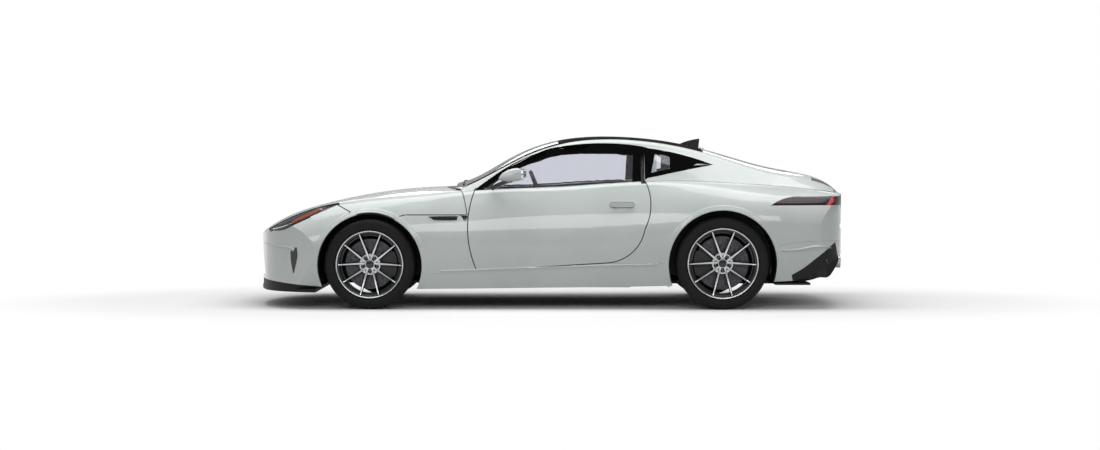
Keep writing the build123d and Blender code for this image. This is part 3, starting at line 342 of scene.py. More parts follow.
def merged(*parts):
    """Several (points, faces) parts as one."""
    starts = np.cumsum([0] + [len(p) for p, f in parts[:-1]])
    return (np.concatenate([p for p, f in parts]),
            np.concatenate([f + start for (p, f), start in zip(parts, starts)]))


def capped(points):
    """A closed tube: sections (rows) of closed loops, each end drawn in to its middle point."""
    first = np.repeat(points[:1].mean(1, keepdims=True), points.shape[1], 1)
    last = np.repeat(points[-1:].mean(1, keepdims=True), points.shape[1], 1)
    return grid(np.concatenate([first, points, last]), wrap_cols=True)


def straight(start, stop, count):
    """Points in even steps from start to stop."""
    t = np.linspace(0, 1, count)[:, None]
    return (1 - t) * np.array(start) + t * np.array(stop)


def through(knots, count, closed=False):
    """Points on a Catmull-Rom curve through the knots: each coordinate is a cubic whose
    slope at a knot is half the step between the knot's neighbours."""
    p = np.asarray(knots, float)
    n = len(p)
    if closed:
        before, after, after2 = np.roll(p, 1, 0), np.roll(p, -1, 0), np.roll(p, -2, 0)
        spans = n
    else:
        before = np.concatenate([2 * p[:1] - p[1:2], p[:-1]])[:n]
        after = np.concatenate([p[1:], 2 * p[-1:] - p[-2:-1]])
        after2 = np.concatenate([p[2:], 2 * p[-1:] - p[-2:-1], 3 * p[-1:] - 2 * p[-2:-1]])
        spans = n - 1
    at = np.linspace(0, spans, count, endpoint=not closed)
    k = np.minimum(at.astype(int), spans - 1)
    t = (at - k)[:, None]
    a, b, c, d = before[k], p[k], after[k], after2[k]
    return 0.5 * (2 * b + (c - a) * t + (2 * a - 5 * b + 4 * c - d) * t ** 2
                  + (3 * b - 3 * c + d - a) * t ** 3)


def piece(name, part, slot_name, body="root", material=None, replaces=(), bevel=0.0, sharp=40.0):
    """Makes an object of one part: doubles merged, faces outwards, shading by angle. It wears
    its slot's finish unless another material is given."""
    obj = new_object(name, *part)
    mesh = obj.data
    work = bmesh.new()
    work.from_mesh(mesh)
    bmesh.ops.remove_doubles(work, verts=work.verts, dist=1e-6)
    bmesh.ops.dissolve_degenerate(work, edges=work.edges, dist=1e-7)
    bmesh.ops.recalc_face_normals(work, faces=work.faces)
    work.to_mesh(mesh)
    work.free()
    mesh.shade_smooth()
    mesh.set_sharp_from_angle(angle=math.radians(sharp))
    mesh.materials.append(material or FINISH[slot_name])
    if bevel:
        edge = obj.modifiers.new("edge", "BEVEL")
        edge.width = bevel * MM
        edge.segments = 2
        edge.angle_limit = math.radians(35)
    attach(obj, body)
    for node in replaces:
        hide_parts(node)
    return obj


def prism(outline_xz, y_low, y_high):
    """A closed XZ outline pulled along Y, its end faces fanned from their middles."""
    loop = np.asarray(outline_xz, float)
    rows = [np.column_stack([loop[:, 0], np.full(len(loop), y), loop[:, 1]])
            for y in (y_low, y_high)]
    return capped(np.stack(rows) * MM)


def slab(x, y, z):
    """A box between pairs of limits, in mm."""
    return prism([(x[0], z[0]), (x[1], z[0]), (x[1], z[1]), (x[0], z[1])], y[0], y[1])


def flipped(part):
    """The part mirrored to the other side of the car."""
    points, faces = part
    return points * (1, -1, 1), faces


def tube(path, radius, sides=12, squash=1.0):
    """A round tube along a path in mm: circles across the local direction, ends closed."""
    p = np.asarray(path, float)
    along = np.gradient(p, axis=0)
    along /= np.linalg.norm(along, axis=1, keepdims=True)
    up = np.where(np.abs(along[:, 2:]) > 0.95, (1.0, 0.0, 0.0), (0.0, 0.0, 1.0))
    side = np.cross(along, up)
    side /= np.linalg.norm(side, axis=1, keepdims=True)
    up = np.cross(side, along)
    turn = turns(sides)
    r = np.broadcast_to(np.asarray(radius, float), (len(p),))[:, None, None]
    cos, sin = np.cos(turn)[None, :, None], np.sin(turn)[None, :, None]
    ring = cos * side[:, None] + squash * sin * up[:, None]
    return capped((p[:, None] + r * ring) * MM)


# ---------------------------------------------------------------- wheels

WHEELS = {
    "front": {"axle_x": -1340.0, "centre_y": 788.0, "radius": 335.0, "half": 122.5, "rim": 250.0},
    "rear": {"axle_x": 1282.0, "centre_y": 806.0, "radius": 343.0, "half": 137.5, "rim": 262.0},
}
PAIRS = 5
FIRST_PAIR = {"left": 53.5, "right": 126.5}  # degrees: where the first pair of spokes stands
SPOKE_START, SPOKE_END = 26.0, 9.0  # from the axle, and short of the rim's edge
SPOKE_GAP = 15.0     # how far a blade starts beside the middle line of its pair
SPOKE_SPREAD = 16.5  # degrees that it stands off that line at the rim
LIP_DROP = 8.0       # the spokes' outer plane lies this far inside the tyre's flank
BOLT_REACH = 57.0    # from the axle to each bolt
DISC_DROP = 62.0     # how much smaller than the rim the brake disc is, in radius
TREAD_STEPS, LUGS, SLOT_SHARE = 432, 72, 0.17
GROOVES = (-0.52, -0.18, 0.18, 0.52)  # where the tread's grooves run, as shares of its half width


def on_wheel(wheel, sign, outward, radius, turn):
    """Points at a radius (mm), a turn (radians) and a distance outward from the wheel's centre."""
    outward, radius, turn = np.broadcast_arrays(outward, radius, turn)
    return np.stack([wheel["axle_x"] + radius * np.cos(turn),
                     sign * (wheel["centre_y"] + outward),
                     wheel["radius"] + radius * np.sin(turn)], -1) * MM


def turned(wheel, sign, section, steps=144):
    """A closed (outward, radius) section turned round the axle."""
    section = np.asarray(section, float)
    turn = turns(steps)[:, None]
    return grid(on_wheel(wheel, sign, section[:, 0], section[:, 1], turn), True, True)


def tyre(wheel, sign):
    """A closed tyre section turned round the axle. The tread's radius drops in four grooves
    round the tyre and in slanted slots across its shoulders; the flanks carry thin rings."""
    half, r, rim = wheel["half"], wheel["radius"], wheel["rim"]
    side = through([(half - 17, rim - 13), (half - 14, rim + 2), (half - 6, rim + 10),
                    (half - 1.5, rim + 22), (half - 0.5, (r + rim) / 2 + 2), (half - 4, r - 24),
                    (half - 12, r - 11), (half - 24, r - 4.2), (half - 38, r - 1.5)], 48)
    ring = np.exp(-((side[:, 1] - rim - 17) / 1.6) ** 2) * 1.2
    for inside in (30, 36):
        ring -= np.exp(-((side[:, 1] - r + inside) / 1.3) ** 2) * 1.6
    side[:, 0] += ring
    across_tread = np.linspace(half - 40, -half + 40, 57)
    crown = r - 1.5 * (across_tread / (half - 38)) ** 2
    groove = sum(np.exp(-((across_tread - at * half) / 4.2) ** 6) for at in GROOVES)
    tread = np.column_stack([across_tread, crown - 7.0 * groove])
    outer = np.concatenate([side, tread, side[::-1] * (-1, 1)])
    inner = np.array([(-half + 32, rim - 12), (-half + 30, rim + 8), (-half + 14, (r + rim) / 2),
                      (-half + 28, r - 24), (half - 28, r - 24), (half - 14, (r + rim) / 2),
                      (half - 30, rim + 8), (half - 32, rim - 12)])
    section = np.concatenate([outer, inner])
    turn = turns(TREAD_STEPS)[:, None]
    out, rad = section[:, 0], section[:, 1]
    shoulder = (np.abs(out) > half - 44) & (rad > r - 17)
    in_lug = np.mod(turn * LUGS / (2 * np.pi) + np.abs(out) * 0.012, 1.0)
    slotted = (in_lug < SLOT_SHARE) & shoulder
    return grid(on_wheel(wheel, sign, out, rad - 5.0 * slotted, turn), True, True)


def rim_barrel(wheel, sign):
    """The rim's ring: an outer lip, a step, the drop to the barrel and the inner lip, turned."""
    half, r = wheel["half"], wheel["rim"]
    section = [(half - 16, r - 14.5), (half - 16, r - 2), (half - 13, r), (half - 5, r),
               (half - 4, r - 3), (half - 6, r - 7), (half - 14, r - 9), (half - 26, r - 13),
               (half - 30, r - 22), (half - 34, r - 24), (half - 60, r - 27), (half - 72, r - 30),
               (half - 76, r - 38), (half - 82, r - 38), (half - 90, r - 32), (-half + 30, r - 26),
               (-half + 8, r - 12), (-half + 5, r - 5), (-half + 5, r), (-half + 13, r),
               (-half + 16, r - 2), (-half + 16, r - 14.5), (-half + 40, r - 20),
               (half - 80, r - 26), (half - 40, r - 18)]
    return turned(wheel, sign, section)


def spoke_line(wheel, side, number, lean, t):
    """Along one blade of a V pair, t from hub 0 to rim 1: its turn and radius."""
    along = SPOKE_START + (wheel["rim"] - SPOKE_END - SPOKE_START) * t
    reach = wheel["rim"] * math.sin(math.radians(SPOKE_SPREAD))
    apart = lean * (SPOKE_GAP + (reach - SPOKE_GAP) * t)
    middle = math.radians(FIRST_PAIR[side] + 360.0 / PAIRS * number)
    return middle + np.arctan2(apart, along), np.hypot(along, apart)


def blade(wheel, side, number, lean, low, high, wide):
    """A loft along one spoke: across it a trapezoid from the cut face down to its foot.
    low and high are (hub, rim) depths below the lip, wide is ((face, foot) at hub, at rim)."""
    sign = SIDES[side]
    t = np.linspace(0, 1, 16)
    turn, radius = spoke_line(wheel, side, number, lean, t)
    lip = wheel["half"] - LIP_DROP
    dip = 9.0 * np.sin(np.pi * t) * (1 - t)
    top = lip - (high[0] + (high[1] - high[0]) * t ** 1.5) - dip
    foot = lip - (low[0] + (low[1] - low[0]) * t) - dip
    face = wide[0][0] + (wide[1][0] - wide[0][0]) * np.minimum(t * 1.6, 1)
    base = wide[0][1] + (wide[1][1] - wide[0][1]) * np.minimum(t * 1.3, 1)
    out = np.stack([top, top, foot, foot], 1)
    off = np.stack([-face / 2, face / 2, base / 2, -base / 2], 1)
    x, z = radius * np.cos(turn), radius * np.sin(turn)
    dx, dz = np.gradient(x), np.gradient(z)
    size = np.hypot(dx, dz)
    px = x[:, None] - off * (dz / size)[:, None]
    pz = z[:, None] + off * (dx / size)[:, None]
    return capped(np.stack([wheel["axle_x"] + px, sign * (wheel["centre_y"] + out),
                            wheel["radius"] + pz], -1) * MM)


def bolt(wheel, side, number):
    """A domed hexagonal wheel bolt in a round seat: rings of a 24-gon, each (depth, radius),
    whose radius is pulled to a hexagon at the head."""
    sign = SIDES[side]
    middle = math.radians(FIRST_PAIR[side] + 360.0 / PAIRS * number)
    lip = wheel["half"] - LIP_DROP
    turn = turns(24)
    hexagon = 9.5 * math.cos(math.pi / 6) / np.cos(np.mod(turn, math.pi / 3) - math.pi / 6)
    rings = [(44.0, 14.0 + 0 * turn), (41.0, 14.0 + 0 * turn), (40.0, hexagon), (32.0, hexagon),
             (30.0, hexagon * 0.82), (31.5, hexagon * 0.4)]
    cx, cz = BOLT_REACH * math.cos(middle), BOLT_REACH * math.sin(middle)
    rows = [np.stack([wheel["axle_x"] + cx + r * np.cos(turn),
                      np.full(24, sign * (wheel["centre_y"] + lip - deep)),
                      wheel["radius"] + cz + r * np.sin(turn)], -1) for deep, r in rings]
    return capped(np.stack(rows) * MM)


def hub_plate(wheel, sign):
    """The wheel's middle: a dished plate turned round the axle, with a collar for the cap."""
    lip = wheel["half"] - LIP_DROP
    section = [(26.3, 20.8), (26.3, 76), (lip - 48, 80), (lip - 43, 78), (lip - 42, 70),
               (lip - 45, 44), (lip - 38, 36), (lip - 34, 34), (lip - 34, 30), (lip - 40, 29),
               (lip - 44, 20.8)]
    return turned(wheel, sign, section, 120)


def centre_cap(wheel, sign):
    """A plain domed cap: radius 28.5, crown 3.5 mm."""
    lip = wheel["half"] - LIP_DROP
    rise = np.linspace(0, 1, 9)
    section = [(lip - 41, 0.01), (lip - 41, 28.5)]
    section += [(lip - 36 + 3.5 * math.sin(a), 28.5 * math.cos(a) + 0.01)
                for a in rise * math.pi / 2]
    return turned(wheel, sign, section, 96)


def brake(wheel, sign):
    """Two friction rings with a vent gap and the bell: one closed section turned; the rings'
    faces carry shallow swept lines as in ground iron."""
    r = wheel["rim"] - DISC_DROP
    section = [(-8, 92), (-8, r - 1), (-7, r), (3, r), (4, r - 8), (10, r - 8), (11, r), (21, r),
               (22, r - 1)]
    section += [(22 - 0.35 * (i % 2), r - 4 - i * 3.0) for i in range(24)]
    section += [(22, 86), (25.6, 84), (25.6, 21), (12, 21), (12, 92)]
    return turned(wheel, sign, section, 120)


def caliper(wheel, side, fore):
    """A caliper as an arc over the disc's edge: a rounded, hooked section swept 29 degrees to
    either side, its ends drawn in."""
    sign = SIDES[side]
    r = wheel["rim"] - DISC_DROP
    middle = 0.0 if fore > 0 else math.pi
    turn = np.radians(np.linspace(-29, 29, 25))
    tall = (1 - 0.35 * np.abs(np.linspace(-1, 1, 25)) ** 6)[:, None]
    loop = through([(-37, r - 58), (-37, r + 4), (-26, r + 12), (36, r + 12), (49, r + 2),
                    (50, r - 40), (44, r - 66), (30, r - 68), (29, r + 6), (-15, r + 6),
                    (-15, r - 60)], 66, closed=True)
    out, rad = loop[:, 0][None], loop[:, 1][None]
    rad = r - 30 + (rad - r + 30) * tall
    return capped(on_wheel(wheel, sign, out + 0 * tall, rad, middle + turn[:, None]))


def make_wheels():
    """Four wheels: tyre, rim ring, ten blades with cut faces, hub, bolts, cap and disc."""
    for end, wheel in WHEELS.items():
        for side, sign in SIDES.items():
            body, tag = f"wheel_{end}_{side}", f"{end}_{side}"
            piece(f"tyre_tread_{tag}", tyre(wheel, sign), "tyre_rubber", body,
                  replaces=[f"tyre_{tag}"], sharp=30)
            piece(f"rim_ring_{tag}", rim_barrel(wheel, sign), "rim_alloy", body, material=GUNMETAL,
                  replaces=[f"rim_{tag}"])
            pairs = [(n, lean) for n in range(PAIRS) for lean in (-1, 1)]
            webs = [blade(wheel, side, *pair, (48, 34), (37, 9), ((15, 34), (6, 19)))
                    for pair in pairs]
            piece(f"spoke_webs_{tag}", merged(*webs), "rim_alloy", body, material=GUNMETAL,
                  bevel=1.0)
            faces = [blade(wheel, side, *pair, (37.6, 10), (36, 7.5), ((13, 15), (7, 8)))
                     for pair in pairs]
            piece(f"spoke_faces_{tag}", merged(*faces), "rim_alloy", body)
            half, r = wheel["half"], wheel["rim"]
            lip_ring = [(half - 6.2, r - 8), (half - 3.2, r - 5), (half - 2.8, r - 2),
                        (half - 4.5, r + 0.5), (half - 7, r - 1)]
            piece(f"rim_lip_{tag}", turned(wheel, sign, lip_ring), "rim_alloy", body)
            piece(f"wheel_hub_{tag}", hub_plate(wheel, sign), "rim_alloy", body, bevel=0.8)
            piece(f"wheel_bolts_{tag}", merged(*(bolt(wheel, side, n) for n in range(PAIRS))),
                  "rim_alloy", body, material=FINISH["gloss_black"], sharp=25)
            piece(f"wheel_cap_{tag}", centre_cap(wheel, sign), "rim_alloy", body,
                  material=FINISH["gloss_black"])
            piece(f"brake_disc_{tag}", brake(wheel, sign), "disc_iron", body,
                  replaces=[f"disc_{tag}"], sharp=30)
            holder = f"knuckle_{side}" if end == "front" else "root"
            piece(f"brake_caliper_{tag}", caliper(wheel, side, 1 if end == "front" else -1),
                  "chassis_black", holder, bevel=1.5)


make_wheels()


# ---------------------------------------------------------------- pieces laid on the body

SKIN_NODES = ("cabin_frame", "door_{0}", "door_glass_{0}", "quarter_panel_{0}", "quarter_glass_{0}",
              "bonnet", "fender_{0}", "sill_{0}", "front_bumper", "rear_bumper", "headlamp_{0}",
              "tail_lamp_{0}", "windscreen", "cowl", "roof_panel", "tailgate", "backlight")
SKINS = {}
BESIDE, ABOVE = 1.3, 2.0  # metres from the middle and from the ground where casting starts


def skin(side):
    """The body's outside on one side as one mesh object, kept out of the scene."""
    if side not in SKINS:
        meshes = [NODES[name.format(side)].data for name in SKIN_NODES]
        parts = [(points_of(mesh), triangles_of(mesh)) for mesh in meshes]
        SKINS[side] = new_object(f"skin_{side}", *merged(*parts))
    return SKINS[side]


def cast(points, side, axis="y"):
    """Each point moved to the first place where the body's outside lies in its way: inwards
    along Y from beside the car, or down along Z. A point that meets nothing takes the depth
    of its neighbours."""
    sign = SIDES[side]
    flat = np.array(points, float).reshape(-1, 3)
    index = 1 if axis == "y" else 2
    flat[:, index] = sign * BESIDE if axis == "y" else ABOVE
    probe = new_object("probe", flat)
    lay = probe.modifiers.new("lay", "SHRINKWRAP")
    lay.wrap_method = "PROJECT"
    lay.target = skin(side)
    lay.use_project_y = axis == "y"
    lay.use_project_z = axis == "z"
    lay.use_positive_direction = axis == "y" and sign < 0
    lay.use_negative_direction = not lay.use_positive_direction
    found = points_of(shown(probe).data)
    remove(probe)
    met = np.abs(found[:, index] - flat[:, index]) > 1e-4
    order = np.arange(len(flat))
    found[:, index] = np.interp(order, order[met], found[met, index])
    return found.reshape(np.shape(points))


def clear_skins():
    """Takes the helper meshes out of the file."""
    for obj in SKINS.values():
        remove(obj)
    SKINS.clear()


def laid(first, second, side, proud, thick, cols=5, sink=0.0, axis="y", closed=False):
    """A thin closed patch on the body between two curves of (x, z) points in mm, or (x, y)
    when laid from above: rows across it are cast on the body, lifted by proud (a number or one
    per column), and its back lies thick behind its front. Closed curves give a ring."""
    a, b = np.asarray(first, float), np.asarray(second, float)
    t = np.linspace(0, 1, cols)[None, :, None]
    flat = a[:, None] * (1 - t) + b[:, None] * t
    zero = np.zeros(flat.shape[:2] + (1,))
    if axis == "y":
        spots = np.concatenate([flat[..., :1], zero, flat[..., 1:]], -1) * MM
        out = np.array([0.0, SIDES[side], 0.0])
    else:
        spots = np.concatenate([flat, zero], -1) * MM
        out = np.array([0.0, 0.0, 1.0])
    base = cast(spots, side, axis) - out * sink * MM
    lift = np.broadcast_to(np.asarray(proud, float), (cols,))[None, :, None] * MM
    rows = np.concatenate([base + out * lift, (base - out * thick * MM)[:, ::-1]], 1)
    return grid(rows, True, True) if closed else capped(rows)


def band_along(path, wide, side, proud, thick, cols=5, axis="y", closed=False):
    """A strip of the given width laid along a path: each point moved half the width to either
    side of the path's direction."""
    p = np.asarray(path, float)
    along = (np.roll(p, -1, 0) - np.roll(p, 1, 0)) if closed else np.gradient(p, axis=0)
    across = np.column_stack([-along[:, 1], along[:, 0]]) / np.linalg.norm(along, axis=1)[:, None]
    half = wide / 2
    return laid(p - across * half, p + across * half, side, proud, thick, cols, axis=axis,
                closed=closed)


def lay_patches(rows, side):
    """Lays each row's patch on one side. A row is: name, slot, body, material or None for the
    slot's own, first and second curve, points on each curve (0 leaves its knots as they are),
    proud, thick, columns."""
    for name, slot_name, body, material, first, second, count, proud, thick, cols in rows:
        if count:
            first, second = through(first, count), through(second, count)
        piece(f"{name}_{side}", laid(first, second, side, proud, thick, cols), slot_name,
              body.format(side), material)


ARCHES = {"front": (-1340.0, 325.0, 388.0), "rear": (1282.0, 335.0, 402.0)}  # x, z, radius
# Arch lips: name, arch, from and to in degrees, and the body that carries each.
LIPS = (("bumper", "front", 104.4, 196.0, "root"), ("bonnet", "front", 63.8, 103.2, "bonnet"),
        ("wing", "front", -24.0, 62.8, "root"), ("rear", "rear", -16.0, 203.0, "root"))


def arch_lip(end, side, start, stop):
    """A rolled lip on the arch from start to stop degrees, 38 mm wide: a bead at its edge, a
    hollow, and a soft outer crease, fading out into the panel."""
    x, z, r = ARCHES[end]
    turn = np.radians(np.linspace(start, stop, max(8, int(abs(stop - start) / 1.5))))
    ray = np.column_stack([np.cos(turn), np.sin(turn)])
    centre = np.array([x, z])
    return laid(centre + (r + 0.5) * ray, centre + (r + 39.0) * ray, side,
                (1.5, 4.5, 5.0, 3.8, 3.0, 2.8, 3.0, 2.4, 0.2), 3.0, 9)


VENT_TOP = through([(-905, 690), (-840, 692), (-760, 693), (-684, 694)], 20)
VENT_LOW = through([(-866, 666), (-820, 663), (-755, 662), (-692, 664)], 20)
VENT_EDGE = through([(-905, 691), (-760, 695), (-684, 696), (-692, 662), (-755, 660), (-866, 664)],
                    90, closed=True)
VENT_PATCH = (("side_vent", "gloss_black", "root", None, VENT_TOP, VENT_LOW, 0,
               (1.2, 0.6, 0.2, 0.6, 1.2), 6.0, 5),)
BADGE_PATCH = (("wing_badge_blank", "gloss_black", "root", None,
                [(-668, 698), (-640, 697), (-622, 697), (-613, 696)],
                [(-658, 690), (-640, 664), (-622, 656), (-613, 654)], 0, 1.0, 4.0, 5),)
HEADLAMP_PATCHES = (
    ("headlamp_amber", "lamp_dark", "root", AMBER,
     [(-1930, 655), (-1860, 690), (-1780, 728), (-1700, 763), (-1655, 774)],
     [(-1922, 636), (-1852, 668), (-1772, 706), (-1702, 743), (-1655, 764)], 30, 1.0, 4.0, 5),
    ("headlamp_fillet", "body_paint", "root", None,
     [(-1784, 689), (-1690, 729)], [(-1784, 668), (-1686, 694)], 0, 1.5, 3.0, 2),
)
LAMP_SPOT = (-1716.0, 748.0)
HANDLE = (535, 777)
END_PATCHES = (
    ("tail_lamp_red", "tail_red", "root", RED,
     [(2052, 776), (2078, 798), (2094, 826), (2108, 838)],
     [(2086, 776), (2104, 790), (2120, 815), (2128, 838)], 0, 1.2, 3.0, 5),
    ("tail_crease", "body_paint", "root", None,
     [(1700, 440), (1790, 448), (1880, 462), (1960, 478), (2040, 474), (2100, 458)],
     [(1700, 436), (1790, 420), (1880, 424), (1960, 436), (2040, 444), (2100, 455)], 30,
     (0.2, 9.0, 6.0, 3.0, 1.0, 0.1), 2.0, 6),
    ("nose_crease", "body_paint", "root", None,
     [(-2190, 478), (-2120, 480), (-2040, 478), (-1955, 470), (-1900, 452)],
     [(-2190, 470), (-2120, 462), (-2040, 452), (-1955, 440), (-1908, 430)], 24,
     (0.2, 7.0, 4.0, 0.1), 2.0, 4),
    ("nose_slot", "gloss_black", "root", None,
     [(-1930, 452), (-1934, 400), (-1926, 330), (-1914, 268)],
     [(-1884, 462), (-1878, 400), (-1892, 330), (-1908, 268)], 24,
     (1.5, 0.6, 0.4, 0.6, 1.5), 4.0, 5),
)
SILL_LINE = through([(-820, 292), (-600, 300), (-300, 312), (100, 326), (500, 338), (800, 345)], 50)
LOW_PATCHES = (
    ("sill_crease", "body_paint", "root", None, SILL_LINE, SILL_LINE - (0, 34), 0,
     (0.2, 6.5, 4.0, 2.2, 1.0, 0.1), 2.0, 6),
    ("diffuser_corner", "satin_black", "root", None,
     [(1795, 256), (1880, 306), (1965, 372), (2050, 440), (2128, 500)],
     [(1805, 214), (1913, 214), (2000, 238), (2076, 248), (2160, 360)], 30, 1.5, 12.0, 9),
)


def make_body_details():
    """Lips, vents, lamp details, creases and handle surrounds on both sides."""
    turn = turns(80)
    cos, sin = np.cos(turn), np.sin(turn)
    flat = 71 * np.sign(cos) * np.minimum(1, np.abs(cos) * 3)
    stadium = np.column_stack([HANDLE[0] + flat + 19.5 * cos, HANDLE[1] + 20.5 * sin])
    blade_line = through([(-2085, 594), (-2040, 603), (-1985, 618), (-1925, 640)], 24)
    x, z = LAMP_SPOT
    for side in SIDES:
        for name, end, start, stop, body in LIPS:
            piece(f"arch_lip_{name}_{side}", arch_lip(end, side, start, stop), "body_paint", body)
        lay_patches(VENT_PATCH, side)
        frame_band = band_along(VENT_EDGE, 4.0, side, (0.3, 2.4, 2.4, 0.3), 2.0, 4, closed=True)
        piece(f"side_vent_frame_{side}", frame_band, "body_paint")
        bars = [laid(VENT_TOP[i:i + 3:2], VENT_LOW[i:i + 3:2], side, 2.0, 2.0, 3)
                for i in range(1, 17, 3)]
        piece(f"side_vent_vanes_{side}", merged(*bars), "satin_black")
        lay_patches(BADGE_PATCH, side)
        surround = band_along(stadium, 3.0, side, (0.2, 0.9, 0.2), 2.0, 3, closed=True)
        piece(f"handle_surround_{side}", surround, "satin_black", f"door_{side}")
        lay_patches(HEADLAMP_PATCHES, side)
        piece(f"headlamp_blade_{side}", band_along(blade_line, 7.0, side, (0.4, 1.2, 0.4), 3.0, 3),
              "lamp_dark", material=CHROME)
        spot = np.column_stack([x + 13 * cos, z + 9 * sin])
        inner = np.column_stack([x + 2 * cos, z + 2 * sin])
        piece(f"headlamp_spot_{side}", laid(spot, inner, side, (0.5, 2.4, 2.8), 2.0, 3),
              "lamp_dark", material=CHROME)
        lay_patches(END_PATCHES + LOW_PATCHES, side)


make_body_details()


# ---------------------------------------------------------------- windows

DOOR_GLASS_TOP = [(-559, 886), (-413, 992), (-245, 1082), (-132, 1138), (2, 1194), (204, 1222),
                  (485, 1225), (700, 1206)]
DOOR_CLEAR_TOP = [(-500, 886), (-380, 975), (-225, 1052), (-110, 1095), (10, 1136), (200, 1158),
                  (485, 1160), (618, 1148)]
# The rail's inner trim, the post behind the door, its cover, and the rear side window's border.
DOOR_TRIM = (
    ("rail_trim", "trim_dark", "door_{0}", RUBBER, DOOR_GLASS_TOP, DOOR_CLEAR_TOP, 60, 0.7, 0.5, 8),
    ("post_trim", "trim_dark", "door_{0}", RUBBER,
     [(626, 1160), (650, 1212), (680, 1209), (712, 1204)],
     [(616, 948), (650, 950), (680, 952), (706, 954)], 0, 0.7, 0.5, 8),
    ("post_cover", "satin_black", "root", RUBBER,
     [(711, 1210), (718, 1208), (728, 1206), (736, 1204)],
     [(711, 962), (718, 966), (728, 972), (736, 978)], 0, 1.0, 2.0, 8),
)
QUARTER_BORDER = tuple(
    (f"quarter_border_{number}", "satin_black", "root", RUBBER, first, second, 24, 0.8, 1.0, 6)
    for number, (first, second) in enumerate((
        ([(722, 1202), (860, 1182), (1000, 1150), (1120, 1115), (1228, 1076)],
         [(745, 1155), (860, 1150), (905, 1132), (905, 1120), (905, 1100)]),
        ([(745, 1010), (800, 1024), (860, 1036), (905, 1046), (905, 1060)],
         [(722, 976), (800, 988), (900, 1010), (1040, 1040), (1228, 1076)]),
        ([(722, 1202), (722, 1120), (722, 1050), (722, 976)],
         [(790, 1155), (782, 1110), (770, 1060), (760, 1010)]),
        ([(905, 1135), (905, 1100), (905, 1070), (905, 1046)],
         [(1000, 1150), (1120, 1110), (1120, 1090), (1000, 1032)]))))
BELT = through([(-540, 899), (-330, 905), (-109, 911), (368, 938), (604, 948)], 60)


def make_window_trim():
    """Black trim and seals around the side windows."""
    seal = through(DOOR_GLASS_TOP, 70)
    for side in SIDES:
        lay_patches(DOOR_TRIM, side)
        piece(f"window_seal_{side}", band_along(seal, 9.0, side, (0.3, 2.2, 2.2, 0.3), 3.0, 4),
              "gloss_black", material=RUBBER)
        piece(f"belt_seal_{side}", band_along(BELT, 10.0, side, (0.3, 2.6, 2.6, 0.3), 3.0, 4),
              "satin_black", f"door_{side}")
        lay_patches(QUARTER_BORDER, side)


make_window_trim()


# ---------------------------------------------------------------- mirrors

MIRROR_Y = 962.0


def mirror_shell(sign):
    """A rounded shell: a closed XZ spline swelled across Y by (1 - |u|^5)^(1/2.4), so its ends
    round off; the rear face is flattened."""
    loop = through([(-378, 974), (-352, 1010), (-300, 1040), (-240, 1050), (-212, 1036),
                    (-204, 1000), (-208, 966), (-250, 953), (-320, 953), (-362, 960)], 64,
                   closed=True)
    u = np.linspace(-1, 1, 33)
    swell = np.maximum(1 - np.abs(u) ** 5, 0.0) ** (1 / 2.4)
    middle = np.array([-270.0, 1000.0])
    x = middle[0] + (loop[:, 0] - middle[0])[None] * swell[:, None]
    z = middle[1] + (loop[:, 1] - middle[1])[None] * (0.25 + 0.75 * swell[:, None])
    y = np.broadcast_to((sign * (MIRROR_Y + 76 * u))[:, None], x.shape)
    return capped(np.stack([x, y, z], -1) * MM)


def make_mirrors():
    """Each mirror: painted cap, black foot and arm, and a silvered glass facing back."""
    for side, sign in SIDES.items():
        body = f"door_{side}"
        piece(f"mirror_cap_{side}", mirror_shell(sign), "body_paint", body,
              replaces=[f"mirror_{side}"], sharp=60)
        foot = through([(-430, sign * 838, 900), (-380, sign * 862, 925), (-330, sign * 900, 947),
                        (-290, sign * 945, 958)], 16)
        piece(f"mirror_foot_{side}", tube(foot, np.linspace(30, 24, 16), 20, 0.6), "gloss_black",
              body)
        cos, sin = np.cos(turns(48)), np.sin(turns(48))
        wide = np.sign(cos) * np.abs(cos) ** 0.5 * 58
        tall = np.sign(sin) * np.abs(sin) ** 0.5 * 36
        rows = [np.column_stack([np.full(48, x), sign * (MIRROR_Y + wide * k), 1001 + tall * k])
                for x, k in ((-212, 1.0), (-200, 1.0), (-198, 0.97))]
        piece(f"mirror_glass_{side}", capped(np.stack(rows) * MM), "glass", body, material=CHROME)


make_mirrors()


# ---------------------------------------------------------------- nose, tail, wells

MOUTH_TOP, MOUTH_LOW = 503.0, 240.0
MOUTH_HALF_TOP, MOUTH_HALF_LOW = 330.0, 500.0
BAR_STEP, BAR_SLOPE = 46.0, 0.6


def nose_bow(y):
    """How far the nose's face lies back at a distance y (mm) from the middle."""
    return 90 * (y / 560) ** 2


